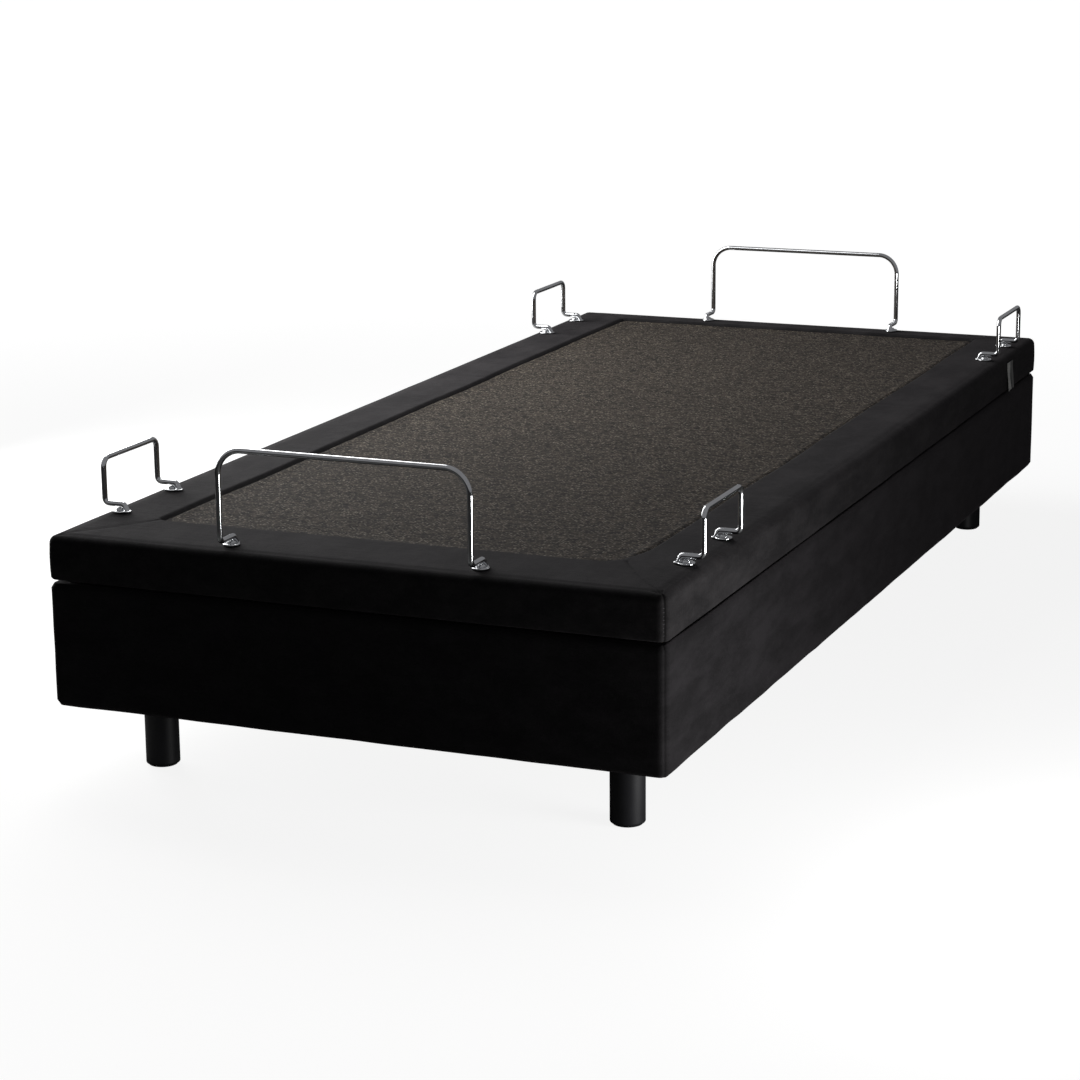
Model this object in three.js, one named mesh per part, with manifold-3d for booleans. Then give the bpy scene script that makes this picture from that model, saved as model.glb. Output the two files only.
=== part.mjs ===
// Adjustable bed base, long single: a padded platform in four hinged sections on a steel frame,
// inside an upholstered surround on four legs, with two linear actuators that lift head and thighs.
// Millimetres, +Z up. The origin is on the floor below the middle of the base. -Y is the foot end,
// +Y the head end, and left and right are as seen from the foot end.
import * as THREE from "three";
import { mergeVertices } from "three/addons/utils/BufferGeometryUtils.js";
import Module from "manifold-3d";

const wasm = await Module();
wasm.setup();

// ---------------------------------------------------------------- driving dimensions

const width = 920;
const sectionLength = { head: 740, seat: 300, thigh: 410, foot: 580 };
const touchGap = 0.3; // left between pieces that rest on each other
const overcut = 1; // how far a cutting solid reaches past what it cuts
const sink = 1; // how far joined solids run into each other

const leg = { height: 112, radius: 24.5, rimRadius: 3, sideInset: 101, footInset: 124, headInset: 95 };
const legRimShare = 0.3; // of the rim radius, where its two chamfers meet
const legFlange = { radius: 32, thickness: 5 };
const surround = { height: 181, thickness: 22, edgeRadius: 6 };
const deckGap = 2; // open line between the surround and the platform
const board = { thickness: 18, sideInset: 6, endGap: 1 };
const pad = { thickness: 46.7, barrelClearance: 8 };

const rail = { width: 30, wall: 3, height: 59 };
const crossRail = { width: 30, height: 40, wall: 3 };

const hinge = { leaf: 2.5, leafWidth: 30, barrelRadius: 4.5, pinRadius: 2, bore: 2.5, endGap: 0.5 };
const hingeSideGap = 2; // beside the barrel, and between the leaf's edge and the foam
const hingeKnuckles = 5;
const topHingeInset = 30; // from the side of the platform to the end of the two top hinges

const headLiftAngle = THREE.MathUtils.degToRad(60);
const thighLiftAngle = THREE.MathUtils.degToRad(35);
const kneeFoldAngle = THREE.MathUtils.degToRad(45);

// Each lift shaft lies below its section and pushes it up with two roller arms. Places along the
// section are distances from its hinge line.
const headLift = { shaftAlong: 60, rollerAlong: 380, motorSide: 1, angle: headLiftAngle };
const thighLift = { shaftAlong: 60, rollerAlong: 300, motorSide: -1, angle: thighLiftAngle };
const shaft = { centreDrop: 40, radius: 16, stubRadius: 10, bearingClearance: 0.4 };
const shaftEnds = { tubeGap: 3, stubSetback: 1 }; // inside and in the thickness of the side rails
const arm = { side: 230, thickness: 10, shaftEndRadius: 24, rollerEndRadius: 12 };
const roller = { radius: 18, width: 24, axleRadius: 6, clearance: 0.4, headRadius: 10, headThickness: 3 };
const rollerGap = { arm: 1, head: 0.5 }; // on either side of a roller
const crank = { radius: 60, thickness: 8, side: 60, hubRadius: 24, eyeRadius: 11, pinRadius: 5, pinEnd: 2 };

const actuator = {
  rearPivotBelowPin: 4, // under the lowest place of its crank pin
  rearPivotReach: 20, // from the face of the centre cross rail
  tubeRadius: 20,
  rodRadius: 9,
  boreRadius: 9.6,
  eyeWidth: 14,
  eyeRadius: 13,
  eyeReach: 24,
  gearbox: 50,
  motorRadius: 21,
  motorLength: 85,
  tubeFrontGap: 44, // from the front of the tube to the crank pin at rest
  rodTail: 150, // from the crank pin to the inner end of the rod
  boreFloor: 10, // solid behind the rod's bore
};
const fork = { plate: 5, sideGap: 1.5, height: 40, reachAhead: 14, reachBehind: 27, neck: 12, headroom: 8 };
const forkSlot = { acrossBelow: 17, across: 6.2, along: 7.5 };
const bracket = { plate: 6, sideGap: 1.5, eyeMargin: 14, pinEnd: 1 };

const calfLink = { pivotDrop: 33, thickness: 8, side: 314, width: 22, pinRadius: 6, hubRadius: 14 };
const calfBracket = { along: 400, drop: 23.1, thickness: 8, side: 326, slotTravel: 9, slotClearance: 1.4 };
const calfPlate = { rearTop: 32, rearLow: 20, frontLow: 26, frontTop: 38, below: 16 }; // from its pin
const calfPinEnd = 2;

const controlBox = { width: 160, length: 96, height: 46, side: -220 };
const powerInlet = { width: 28, height: 20, depth: 16, inset: 30 };

const wireRadius = 4;
const wideRetainer = { span: 372, rise: 141, topBend: 36, screwInset: 36 };
const sideRetainer = { span: 150, rise: 77, topBend: 13, screwInset: 29 };
const retainerFoot = { runHeight: 12, bend: 7, kink: 7, edgeGap: 0.5, eyeRadius: 12, eyeThickness: 3 };
const retainerKink = { bend: 4, headClearance: 1.5, wireLift: 0.4 };
const bendSteps = 4;
const sideRetainerInset = { foot: 230, head: 205 }; // its middle, from the end of the platform
const screw = { headRadius: 6.5, headHeight: 4, shankRadius: 3, shankDepth: 62, holeRadius: 3.5 };
const screwDome = { rimHeight: 0.45, crownRadius: 0.7, crownHeight: 0.85 }; // shares of the head's size

const wireSides = 8;
const roundSides = 16;
const pinSides = 12;
const screwSides = 10;
const holeSides = 8;

// ---------------------------------------------------------------- heights and hinge lines

const surroundBottom = leg.height;
const surroundTop = surroundBottom + surround.height;
const boardBottom = surroundTop + deckGap;
const boardTop = boardBottom + board.thickness;
const padBottom = boardTop + touchGap;
const deckTop = padBottom + pad.thickness;
const railTop = boardBottom - touchGap;
const railBottom = railTop - rail.height;

const halfWidth = width / 2;
const boardHalfWidth = halfWidth - board.sideInset;
const length = sectionLength.head + sectionLength.seat + sectionLength.thigh + sectionLength.foot;
const headEnd = length / 2;
const footEnd = -length / 2;
const headHingeY = headEnd - sectionLength.head;
const thighHingeY = headHingeY - sectionLength.seat;
const kneeHingeY = thighHingeY - sectionLength.thigh;
const topHingeZ = boardTop + 2 * touchGap + hinge.barrelRadius;
const kneeHingeZ = boardBottom - 2 * touchGap - hinge.barrelRadius;

const railX = halfWidth - leg.sideInset; // the legs stand under the middle of the side rails
const railInner = railX - rail.width / 2;
const railOuter = railX + rail.width / 2;
const panelInner = halfWidth - surround.thickness;
const endPanelInner = headEnd - surround.thickness;
const endRailOuter = endPanelInner - touchGap;
const endRailInner = endRailOuter - crossRail.width;
const shaftZ = boardBottom - shaft.centreDrop;
const seatMiddleY = (headHingeY + thighHingeY) / 2;

// ---------------------------------------------------------------- materials

const material = (color, roughness, metalness = 0) =>
  new THREE.MeshStandardMaterial({ color, roughness, metalness });
const blackVelvet = material(0x131214, 0.95);
const borderFabric = material(0x242124, 0.95);
const plywood = material(0x9a7d58, 0.8);
const blackPaint = material(0x16171a, 0.5, 0.3);
const zincSteel = material(0x9fa3a6, 0.4, 0.9);
const chrome = material(0xd8dadc, 0.12, 1);
const blackPlastic = material(0x1b1c1e, 0.55);
const greyPlastic = material(0x5b5e62, 0.6);
const legPaint = material(0x0f0f11, 0.6, 0.1);

// ---------------------------------------------------------------- solids

function solidOf(geometry) {
  const bare = geometry.clone();
  bare.deleteAttribute("normal");
  bare.deleteAttribute("uv");
  const merged = mergeVertices(bare, 1e-4);
  return new wasm.Manifold(
    new wasm.Mesh({
      numProp: 3,
      vertProperties: new Float32Array(merged.attributes.position.array),
      triVerts: new Uint32Array(merged.index.array),
    }),
  );
}

function geometryOf(solid) {
  const mesh = solid.getMesh();
  const geometry = new THREE.BufferGeometry();
  geometry.setAttribute("position", new THREE.BufferAttribute(mesh.vertProperties, 3));
  geometry.setIndex(new THREE.BufferAttribute(mesh.triVerts, 1));
  return geometry;
}

const join = (first, ...others) =>
  geometryOf(others.reduce((whole, other) => whole.add(solidOf(other)), solidOf(first)));

const cut = (base, ...tools) =>
  geometryOf(tools.reduce((whole, tool) => whole.subtract(solidOf(tool)), solidOf(base)));

function box(x, y, z) {
  const geometry = new THREE.BoxGeometry(x[1] - x[0], y[1] - y[0], z[1] - z[0]);
  return geometry.translate((x[0] + x[1]) / 2, (y[0] + y[1]) / 2, (z[0] + z[1]) / 2);
}

function span(centre, size) {
  return [centre - size / 2, centre + size / 2];
}

function rodAlongX(radius, x, y, z, sides = roundSides) {
  const geometry = new THREE.CylinderGeometry(radius, radius, x[1] - x[0], sides);
  return geometry.rotateZ(Math.PI / 2).translate((x[0] + x[1]) / 2, y, z);
}

// A plate with the given outline of [y, z] points, from x[0] to x[1].
const yzToSpace = new THREE.Matrix4().makeBasis(
  new THREE.Vector3(0, 1, 0),
  new THREE.Vector3(0, 0, 1),
  new THREE.Vector3(1, 0, 0),
);
function plateAcross(outline, x) {
  const shape = new THREE.Shape(outline.map(([y, z]) => new THREE.Vector2(y, z)));
  const geometry = new THREE.ExtrudeGeometry(shape, { depth: x[1] - x[0], bevelEnabled: false });
  return geometry.applyMatrix4(yzToSpace).translate(x[0], 0, 0);
}

// The outline of a bar with round ends of radius a and b about two points.
function barOutline(from, to, a, b, steps = 6) {
  const heading = Math.atan2(to[1] - from[1], to[0] - from[0]);
  const halfRound = (centre, radius, start) =>
    Array.from({ length: steps + 1 }, (_, i) => {
      const angle = start + (Math.PI * i) / steps;
      return [centre[0] + radius * Math.cos(angle), centre[1] + radius * Math.sin(angle)];
    });
  return [
    ...halfRound(to, b, heading - Math.PI / 2),
    ...halfRound(from, a, heading + Math.PI / 2),
  ];
}

function tubeAlongY(x, y, z, wall) {
  const inner = box([x[0] + wall, x[1] - wall], [y[0] - overcut, y[1] + overcut], [z[0] + wall, z[1] - wall]);
  return cut(box(x, y, z), inner);
}

function tubeAlongX(x, y, z, wall) {
  const inner = box([x[0] - overcut, x[1] + overcut], [y[0] + wall, y[1] - wall], [z[0] + wall, z[1] - wall]);
  return cut(box(x, y, z), inner);
}

const object = new THREE.Group();

function place(group, name, geometry, finish) {
  const mesh = new THREE.Mesh(geometry, finish);
  mesh.name = name;
  group.add(mesh);
  return mesh;
}

function groupIn(parent) {
  const group = new THREE.Group();
  parent.add(group);
  return group;
}

// ---------------------------------------------------------------- lift mechanism, worked out flat

// All of it is in a plane of [along, up] points, with its zero on the hinge line of the section.
const turned = ([a, u], angle) => [
  a * Math.cos(angle) - u * Math.sin(angle),
  a * Math.sin(angle) + u * Math.cos(angle),
];
const headingOf = (from, to) => Math.atan2(to[1] - from[1], to[0] - from[0]);
const distance = (from, to) => Math.hypot(to[0] - from[0], to[1] - from[1]);
const polar = (centre, radius, angle) => [
  centre[0] + radius * Math.cos(angle),
  centre[1] + radius * Math.sin(angle),
];

const rollerDrop = topHingeZ - boardBottom + touchGap + roller.radius;

// The arm holds its roller against the board when the section is flat and when it is fully up.
function solveLift({ shaftAlong, rollerAlong, angle }) {
  const centre = [shaftAlong, shaftZ - topHingeZ];
  const rest = [rollerAlong, -rollerDrop];
  const armLength = distance(centre, rest);
  const foot = [Math.sin(angle) * rollerDrop - centre[0], -Math.cos(angle) * rollerDrop - centre[1]];
  const slope = Math.cos(angle) * foot[0] + Math.sin(angle) * foot[1];
  const along = -slope + Math.sqrt(slope ** 2 - foot[0] ** 2 - foot[1] ** 2 + armLength ** 2);
  const raised = [
    centre[0] + foot[0] + along * Math.cos(angle),
    centre[1] + foot[1] + along * Math.sin(angle),
  ];
  const turn = headingOf(centre, raised) - headingOf(centre, rest);
  const rolled = (rollerAlong - along) / roller.radius + angle - turn;
  const crankStart = -Math.PI / 2 - turn / 2;
  const pinRest = polar(centre, crank.radius, crankStart);
  const pinRaised = polar(centre, crank.radius, crankStart + turn);
  return { centre, rest, armLength, turn, rolled, pinRest, pinRaised };
}

// The rear pivot hangs below the centre cross rail, on the side away from its own section.
function solveActuator(lift, hingeToSeatMiddle) {
  const drop = shaft.centreDrop + crank.radius + actuator.rearPivotBelowPin;
  const rear = [
    -hingeToSeatMiddle - crossRail.width / 2 - actuator.rearPivotReach,
    boardBottom - drop - topHingeZ,
  ];
  const tilt = headingOf(rear, lift.pinRest);
  return {
    rear,
    tilt,
    retracted: distance(rear, lift.pinRest),
    stroke: distance(rear, lift.pinRaised) - distance(rear, lift.pinRest),
    swing: headingOf(rear, lift.pinRaised) - tilt,
  };
}

// The calf link's frame pivot is as far from the bracket when flat as when the knee is up.
function solveCalfLink() {
  const knee = [sectionLength.thigh, kneeHingeZ - topHingeZ];
  const offset = [calfBracket.along, boardBottom - calfBracket.drop - kneeHingeZ];
  const rest = [knee[0] + offset[0], knee[1] + offset[1]];
  const kneeUp = turned(knee, thighLiftAngle);
  const offsetUp = turned(offset, thighLiftAngle - kneeFoldAngle);
  const raised = [kneeUp[0] + offsetUp[0], kneeUp[1] + offsetUp[1]];
  const middle = [(rest[0] + raised[0]) / 2, (rest[1] + raised[1]) / 2];
  const pivotUp = boardBottom - calfLink.pivotDrop - topHingeZ;
  const slope = (raised[1] - rest[1]) / (raised[0] - rest[0]);
  const pivot = [middle[0] + (middle[1] - pivotUp) * slope, pivotUp];
  return { pivot, rest, turn: headingOf(pivot, raised) - headingOf(pivot, rest) };
}

const headGeometry = solveLift(headLift);
const thighGeometry = solveLift(thighLift);
const halfSeat = sectionLength.seat / 2;
const headDrive = solveActuator(headGeometry, halfSeat);
const thighDrive = solveActuator(thighGeometry, halfSeat);
const calfGeometry = solveCalfLink();

// From the plane of a section to [y, z] in the object: the head section runs to +Y, the others to -Y.
const headPlane = ([a, u]) => [headHingeY + a, topHingeZ + u];
const thighPlane = ([a, u]) => [thighHingeY - a, topHingeZ + u];

// ---------------------------------------------------------------- surround and legs

function surroundPanel(x, y) {
  const r = surround.edgeRadius;
  const zMiddle = (surroundBottom + surroundTop) / 2;
  const shape = new THREE.Shape();
  const w = x[1] - x[0];
  const d = y[1] - y[0];
  shape.moveTo(-w / 2, -d / 2);
  shape.lineTo(w / 2, -d / 2);
  shape.lineTo(w / 2, d / 2);
  shape.lineTo(-w / 2, d / 2);
  const plain = new THREE.ExtrudeGeometry(shape, {
    depth: surround.height - 2 * r,
    bevelThickness: r,
    bevelSize: r,
    bevelOffset: -r,
    bevelSegments: 2,
  });
  return plain.translate((x[0] + x[1]) / 2, (y[0] + y[1]) / 2, zMiddle - surround.height / 2 + r);
}

function buildSurround() {
  const group = groupIn(object);
  const sideY = [footEnd + surround.thickness + touchGap, headEnd - surround.thickness - touchGap];
  const wholeX = [-halfWidth, halfWidth];
  const add = (name, x, y) => place(group, name, surroundPanel(x, y), blackVelvet);
  add("surround_foot_panel", wholeX, [footEnd, footEnd + surround.thickness]);
  add("surround_head_panel", wholeX, [headEnd - surround.thickness, headEnd]);
  add("surround_left_panel", [-halfWidth, -panelInner], sideY);
  add("surround_right_panel", [panelInner, halfWidth], sideY);
}

function legShape() {
  const top = railBottom - touchGap;
  const rim = leg.rimRadius;
  const outline = [
    [0, 0],
    [leg.radius - rim, 0],
    [leg.radius - rim * legRimShare, rim * legRimShare],
    [leg.radius, rim],
    [leg.radius, top - legFlange.thickness],
    [legFlange.radius, top - legFlange.thickness],
    [legFlange.radius, top],
    [0, top],
  ];
  const points = outline.map(([r, z]) => new THREE.Vector2(r, z));
  return new THREE.LatheGeometry(points, roundSides).rotateX(Math.PI / 2);
}

function buildLegs() {
  const group = groupIn(object);
  const ends = { foot: footEnd + leg.footInset, head: headEnd - leg.headInset };
  for (const [end, y] of Object.entries(ends)) {
    for (const [side, x] of Object.entries({ left: -railX, right: railX })) {
      place(group, `leg_${end}_${side}`, legShape(), legPaint).position.set(x, y, 0);
    }
  }
}

// ---------------------------------------------------------------- steel frame

function sideRail(x) {
  const tube = tubeAlongY(
    x,
    [-(endRailInner - touchGap), endRailInner - touchGap],
    [railBottom, railTop],
    rail.wall,
  );
  const through = [x[0] - overcut, x[1] + overcut];
  const bearing = shaft.stubRadius + shaft.bearingClearance;
  const linkBearing = calfLink.pinRadius + shaft.bearingClearance;
  return cut(
    tube,
    rodAlongX(bearing, through, ...headPlane(headGeometry.centre)),
    rodAlongX(bearing, through, ...thighPlane(thighGeometry.centre)),
    rodAlongX(linkBearing, through, ...thighPlane(calfGeometry.pivot), pinSides),
  );
}

// Two cheek plates and a pin, for the rear eye of one actuator.
function rearBracket(drive, plane, side, facing) {
  const [y, z] = plane(drive.rear);
  const railFace = seatMiddleY + (facing * crossRail.width) / 2;
  const reach = [y + facing * bracket.eyeMargin, railFace - facing * sink].sort((a, b) => a - b);
  const inner = actuator.eyeWidth / 2 + bracket.sideGap;
  const outer = inner + bracket.plate;
  const top = railTop - crossRail.wall;
  const cheeks = [-1, 1].map((s) =>
    box(
      [side + s * inner, side + s * outer].sort((a, b) => a - b),
      reach,
      [z - bracket.eyeMargin, top],
    ),
  );
  const pinHalf = outer + bracket.pinEnd;
  const pin = rodAlongX(crank.pinRadius, [side - pinHalf, side + pinHalf], y, z, pinSides);
  return [...cheeks, pin];
}

function buildFrame() {
  const group = groupIn(object);
  place(group, "side_rail_left", sideRail([-railOuter, -railInner]), blackPaint);
  place(group, "side_rail_right", sideRail([railInner, railOuter]), blackPaint);

  const crossZ = [railTop - crossRail.height, railTop];
  const endX = [-(panelInner - touchGap), panelInner - touchGap];
  for (const [name, y] of [
    ["end_rail_head", [endRailInner, endRailOuter]],
    ["end_rail_foot", [-endRailOuter, -endRailInner]],
  ]) {
    place(group, name, tubeAlongX(endX, y, crossZ, crossRail.wall), blackPaint);
  }

  const centreX = [-(railInner - touchGap), railInner - touchGap];
  const centre = tubeAlongX(centreX, span(seatMiddleY, crossRail.width), crossZ, crossRail.wall);
  const brackets = [
    ...rearBracket(headDrive, headPlane, headLift.motorSide * crank.side, -1),
    ...rearBracket(thighDrive, thighPlane, thighLift.motorSide * crank.side, 1),
  ];
  place(group, "centre_cross_rail", join(centre, ...brackets), blackPaint);

  const boxTop = railTop - touchGap;
  const boxX = span(controlBox.side, controlBox.width);
  const boxY = [seatMiddleY + crossRail.width, seatMiddleY + crossRail.width + controlBox.length];
  const shell = box(boxX, boxY, [boxTop - controlBox.height, boxTop]);
  const inletZ = span(boxTop - controlBox.height / 2, powerInlet.height);
  const inletX = [boxX[0] - overcut, boxX[0] + powerInlet.depth];
  const inlet = box(inletX, span(boxY[0] + powerInlet.inset, powerInlet.width), inletZ);
  place(group, "control_box", cut(shell, inlet), blackPlastic);
}

// ---------------------------------------------------------------- platform sections

// A chamfer on the top of a pad where its section folds up towards its neighbour.
function padOutline(y, foldAtLow, foldAtHigh) {
  const rise = deckTop - topHingeZ;
  const outline = [];
  const seam = (edge, angle, inward) => {
    const clear = pad.barrelClearance;
    const leafEnd = hinge.leafWidth + hingeSideGap;
    const leafTop = boardTop + touchGap + hinge.leaf + touchGap;
    const top = clear + rise * Math.tan(angle / 2);
    return [
      [edge + inward * leafEnd, padBottom],
      [edge + inward * leafEnd, leafTop],
      [edge + inward * clear, leafTop],
      [edge + inward * top, deckTop],
    ];
  };
  if (foldAtLow) outline.push(...seam(y[0], foldAtLow, 1).reverse());
  else outline.push([y[0], deckTop], [y[0], padBottom]);
  if (foldAtHigh) outline.push(...seam(y[1], foldAtHigh, -1));
  else outline.push([y[1], padBottom], [y[1], deckTop]);
  return outline;
}

function screwHole(x, y) {
  const reach = 2 * (deckTop - boardBottom + overcut);
  const hole = new THREE.CylinderGeometry(screw.holeRadius, screw.holeRadius, reach, holeSides);
  return hole.rotateX(Math.PI / 2).translate(x, y, deckTop);
}

function buildSection(group, name, y, folds, screws) {
  const boardY = [
    y[0] + (y[0] === footEnd ? board.sideInset : board.endGap),
    y[1] - (y[1] === headEnd ? board.sideInset : board.endGap),
  ];
  const padY = [y[0] + (y[0] === footEnd ? 0 : board.endGap), y[1] - (y[1] === headEnd ? 0 : board.endGap)];
  const flat = box([-boardHalfWidth, boardHalfWidth], boardY, [boardBottom, boardTop]);
  const soft = plateAcross(padOutline(padY, ...folds), [-halfWidth, halfWidth]);
  const holes = screws.map(([x, holeY]) => screwHole(x, holeY));
  place(group, `${name}_board`, holes.length ? cut(flat, ...holes) : flat, plywood);
  place(group, `${name}_pad`, holes.length ? cut(soft, ...holes) : soft, borderFabric);
}

// One leaf of a piano hinge on the line y: up is 1 for leaves on top of the boards and -1 for
// leaves under them, out is the way the leaf reaches, and the leaf with the pin has odd knuckles.
function hingeLeaf({ y, z, up, out, halfLength, withPin }) {
  const pitch = (2 * halfLength) / hingeKnuckles;
  const face = z - up * (hinge.barrelRadius + touchGap);
  const leafZ = [face, face + up * hinge.leaf].sort((a, b) => a - b);
  const clear = hinge.barrelRadius + hingeSideGap;
  const leafY = [y + out * clear, y + out * hinge.leafWidth].sort((a, b) => a - b);
  const tabY = [y + out * sink, y + out * (clear + sink)].sort((a, b) => a - b);
  const tabZ = [leafZ[0], leafZ[1]];
  tabZ[up > 0 ? 0 : 1] += up * touchGap;
  const pieces = [box([-halfLength, halfLength], leafY, leafZ)];
  const bores = [];
  for (let i = 0; i < hingeKnuckles; i++) {
    if ((i % 2 === 0) !== withPin) continue;
    const x = [
      -halfLength + i * pitch + hinge.endGap,
      -halfLength + (i + 1) * pitch - hinge.endGap,
    ];
    pieces.push(box(x, tabY, tabZ));
    pieces.push(rodAlongX(hinge.barrelRadius, x, y, z, pinSides));
    if (!withPin) {
      bores.push(rodAlongX(hinge.bore, [x[0] - overcut, x[1] + overcut], y, z, pinSides));
    }
  }
  const pinX = [-halfLength + sink, halfLength - sink];
  if (withPin) pieces.push(rodAlongX(hinge.pinRadius, pinX, y, z, pinSides));
  const leaf = join(...pieces);
  return bores.length ? cut(leaf, ...bores) : leaf;
}

// ---------------------------------------------------------------- mattress retainers

// A centre line through corner points, with a round bend of the given radius at each.
function bentLine(corners, bends) {
  const line = [corners[0]];
  for (let i = 1; i < corners.length - 1; i++) {
    const before = corners[i - 1].clone().sub(corners[i]).normalize();
    const after = corners[i + 1].clone().sub(corners[i]).normalize();
    const halfAngle = before.angleTo(after) / 2;
    const radius = bends[i - 1];
    const reach = radius / Math.tan(halfAngle);
    const bisector = before.clone().add(after).normalize();
    const centre = corners[i].clone().addScaledVector(bisector, radius / Math.sin(halfAngle));
    const start = corners[i].clone().addScaledVector(before, reach).sub(centre);
    const end = corners[i].clone().addScaledVector(after, reach).sub(centre);
    const sweep = start.angleTo(end);
    const pivot = start.clone().cross(end).normalize();
    for (let k = 0; k <= bendSteps; k++) {
      line.push(start.clone().applyAxisAngle(pivot, (sweep * k) / bendSteps).add(centre));
    }
  }
  line.push(corners[corners.length - 1]);
  return line;
}

// A curve that an extrusion samples exactly at its own points.
class PointedCurve extends THREE.Curve {
  constructor(points) {
    super();
    this.points = points;
  }

  getPoint(t, target = new THREE.Vector3()) {
    const place = t * (this.points.length - 1);
    const i = Math.min(Math.floor(place), this.points.length - 2);
    return target.lerpVectors(this.points[i], this.points[i + 1], place - i);
  }

  getUtoTmapping(u) {
    return u;
  }
}

function wire(points) {
  const section = new THREE.Shape();
  section.absarc(0, 0, wireRadius, 0, 2 * Math.PI);
  return new THREE.ExtrudeGeometry(section, {
    steps: points.length - 1,
    curveSegments: wireSides / 2,
    extrudePath: new PointedCurve(points),
  });
}

// A retainer in its own frame: X along the edge of the platform, Y outwards from it, and Z up
// from the platform's top.
function retainerShape({ span: width, rise, topBend, screwInset }) {
  const wireY = -(retainerFoot.edgeGap + wireRadius);
  const eyeY = -screwInset;
  const startY = eyeY + screw.headRadius + retainerKink.headClearance;
  const lowZ = wireRadius + retainerKink.wireLift;
  const point = (x, y, z) => new THREE.Vector3(x, y, z);
  const half = (x) => [
    point(x, startY, lowZ),
    point(x, startY + retainerFoot.kink, retainerFoot.runHeight),
    point(x, wireY, retainerFoot.runHeight),
    point(x, wireY, rise),
  ];
  const corners = [...half(-width / 2), ...half(width / 2).reverse()];
  const halfBends = [retainerKink.bend, retainerFoot.bend, topBend];
  const rod = wire(bentLine(corners, [...halfBends, ...halfBends.toReversed()]));
  const plateZ = touchGap + retainerFoot.eyeThickness / 2;
  const eyes = [-width / 2, width / 2].map((x) =>
    new THREE.CylinderGeometry(
      retainerFoot.eyeRadius,
      retainerFoot.eyeRadius,
      retainerFoot.eyeThickness,
      roundSides,
    )
      .rotateX(Math.PI / 2)
      .translate(x, eyeY, plateZ),
  );
  const holes = [-width / 2, width / 2].map((x) =>
    new THREE.CylinderGeometry(screw.holeRadius, screw.holeRadius, screw.shankDepth, holeSides)
      .rotateX(Math.PI / 2)
      .translate(x, eyeY, 0),
  );
  return cut(join(rod, ...eyes), ...holes);
}

function screwShape() {
  const seat = touchGap + retainerFoot.eyeThickness + touchGap;
  const outline = [
    [0, seat - screw.shankDepth],
    [screw.shankRadius, seat - screw.shankDepth],
    [screw.shankRadius, seat],
    [screw.headRadius, seat],
    [screw.headRadius, seat + screw.headHeight * screwDome.rimHeight],
    [screw.headRadius * screwDome.crownRadius, seat + screw.headHeight * screwDome.crownHeight],
    [0, seat + screw.headHeight],
  ];
  const points = outline.map(([r, z]) => new THREE.Vector2(r, z));
  return new THREE.LatheGeometry(points, screwSides).rotateX(Math.PI / 2);
}

const retainers = [
  { name: "foot_retainer", section: "foot", size: wideRetainer, x: 0, y: footEnd, turn: Math.PI },
  { name: "head_retainer", section: "head", size: wideRetainer, x: 0, y: headEnd, turn: 0 },
  ...["left", "right"].flatMap((side) => {
    const sign = side === "right" ? 1 : -1;
    const common = { size: sideRetainer, x: sign * halfWidth, turn: (-sign * Math.PI) / 2 };
    return [
      { name: `foot_${side}_retainer`, section: "foot", y: footEnd + sideRetainerInset.foot, ...common },
      { name: `head_${side}_retainer`, section: "head", y: headEnd - sideRetainerInset.head, ...common },
    ];
  }),
];

function screwPlaces({ size, x, y, turn }) {
  return [-1, 1].map((s) => {
    const [dx, dy] = turned([(s * size.span) / 2, -size.screwInset], turn);
    return [x + dx, y + dy];
  });
}

function buildRetainers(section, group) {
  for (const retainer of retainers.filter((r) => r.section === section)) {
    const mesh = place(group, retainer.name, retainerShape(retainer.size), chrome);
    mesh.position.set(retainer.x, retainer.y, deckTop);
    mesh.rotation.z = retainer.turn;
    screwPlaces(retainer).forEach(([x, y], i) => {
      const name = `${retainer.name.replace("retainer", "screw")}_${i + 1}`;
      place(group, name, screwShape(), zincSteel).position.set(x, y, deckTop);
    });
  }
}

function buildPlatform() {
  const topHalf = halfWidth - topHingeInset;
  const kneeHalf = railInner - 2 * hinge.leaf;
  const screwsOf = (section) => retainers.filter((r) => r.section === section).flatMap(screwPlaces);

  const head = groupIn(object);
  buildSection(head, "head", [headHingeY, headEnd], [headLiftAngle, 0], screwsOf("head"));
  buildRetainers("head", head);

  const seat = groupIn(object);
  buildSection(seat, "seat", [thighHingeY, headHingeY], [thighLiftAngle, headLiftAngle], []);

  const thigh = groupIn(object);
  buildSection(thigh, "thigh", [kneeHingeY, thighHingeY], [0, thighLiftAngle], []);

  const foot = groupIn(object);
  buildSection(foot, "foot", [footEnd, kneeHingeY], [0, 0], screwsOf("foot"));
  buildRetainers("foot", foot);

  const headLine = { y: headHingeY, z: topHingeZ, up: 1, halfLength: topHalf };
  const thighLine = { y: thighHingeY, z: topHingeZ, up: 1, halfLength: topHalf };
  const kneeLine = { y: kneeHingeY, z: kneeHingeZ, up: -1, halfLength: kneeHalf };
  const leaf = (group, name, line, out, withPin) =>
    place(group, name, hingeLeaf({ ...line, out, withPin }), zincSteel);
  leaf(seat, "head_hinge_pin_leaf", headLine, -1, true);
  leaf(head, "head_hinge_moving_leaf", headLine, 1, false);
  leaf(seat, "thigh_hinge_pin_leaf", thighLine, 1, true);
  leaf(thigh, "thigh_hinge_moving_leaf", thighLine, -1, false);
  leaf(thigh, "knee_hinge_pin_leaf", kneeLine, 1, true);
  leaf(foot, "knee_hinge_moving_leaf", kneeLine, -1, false);
}

// ---------------------------------------------------------------- lift shafts and rollers

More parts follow.
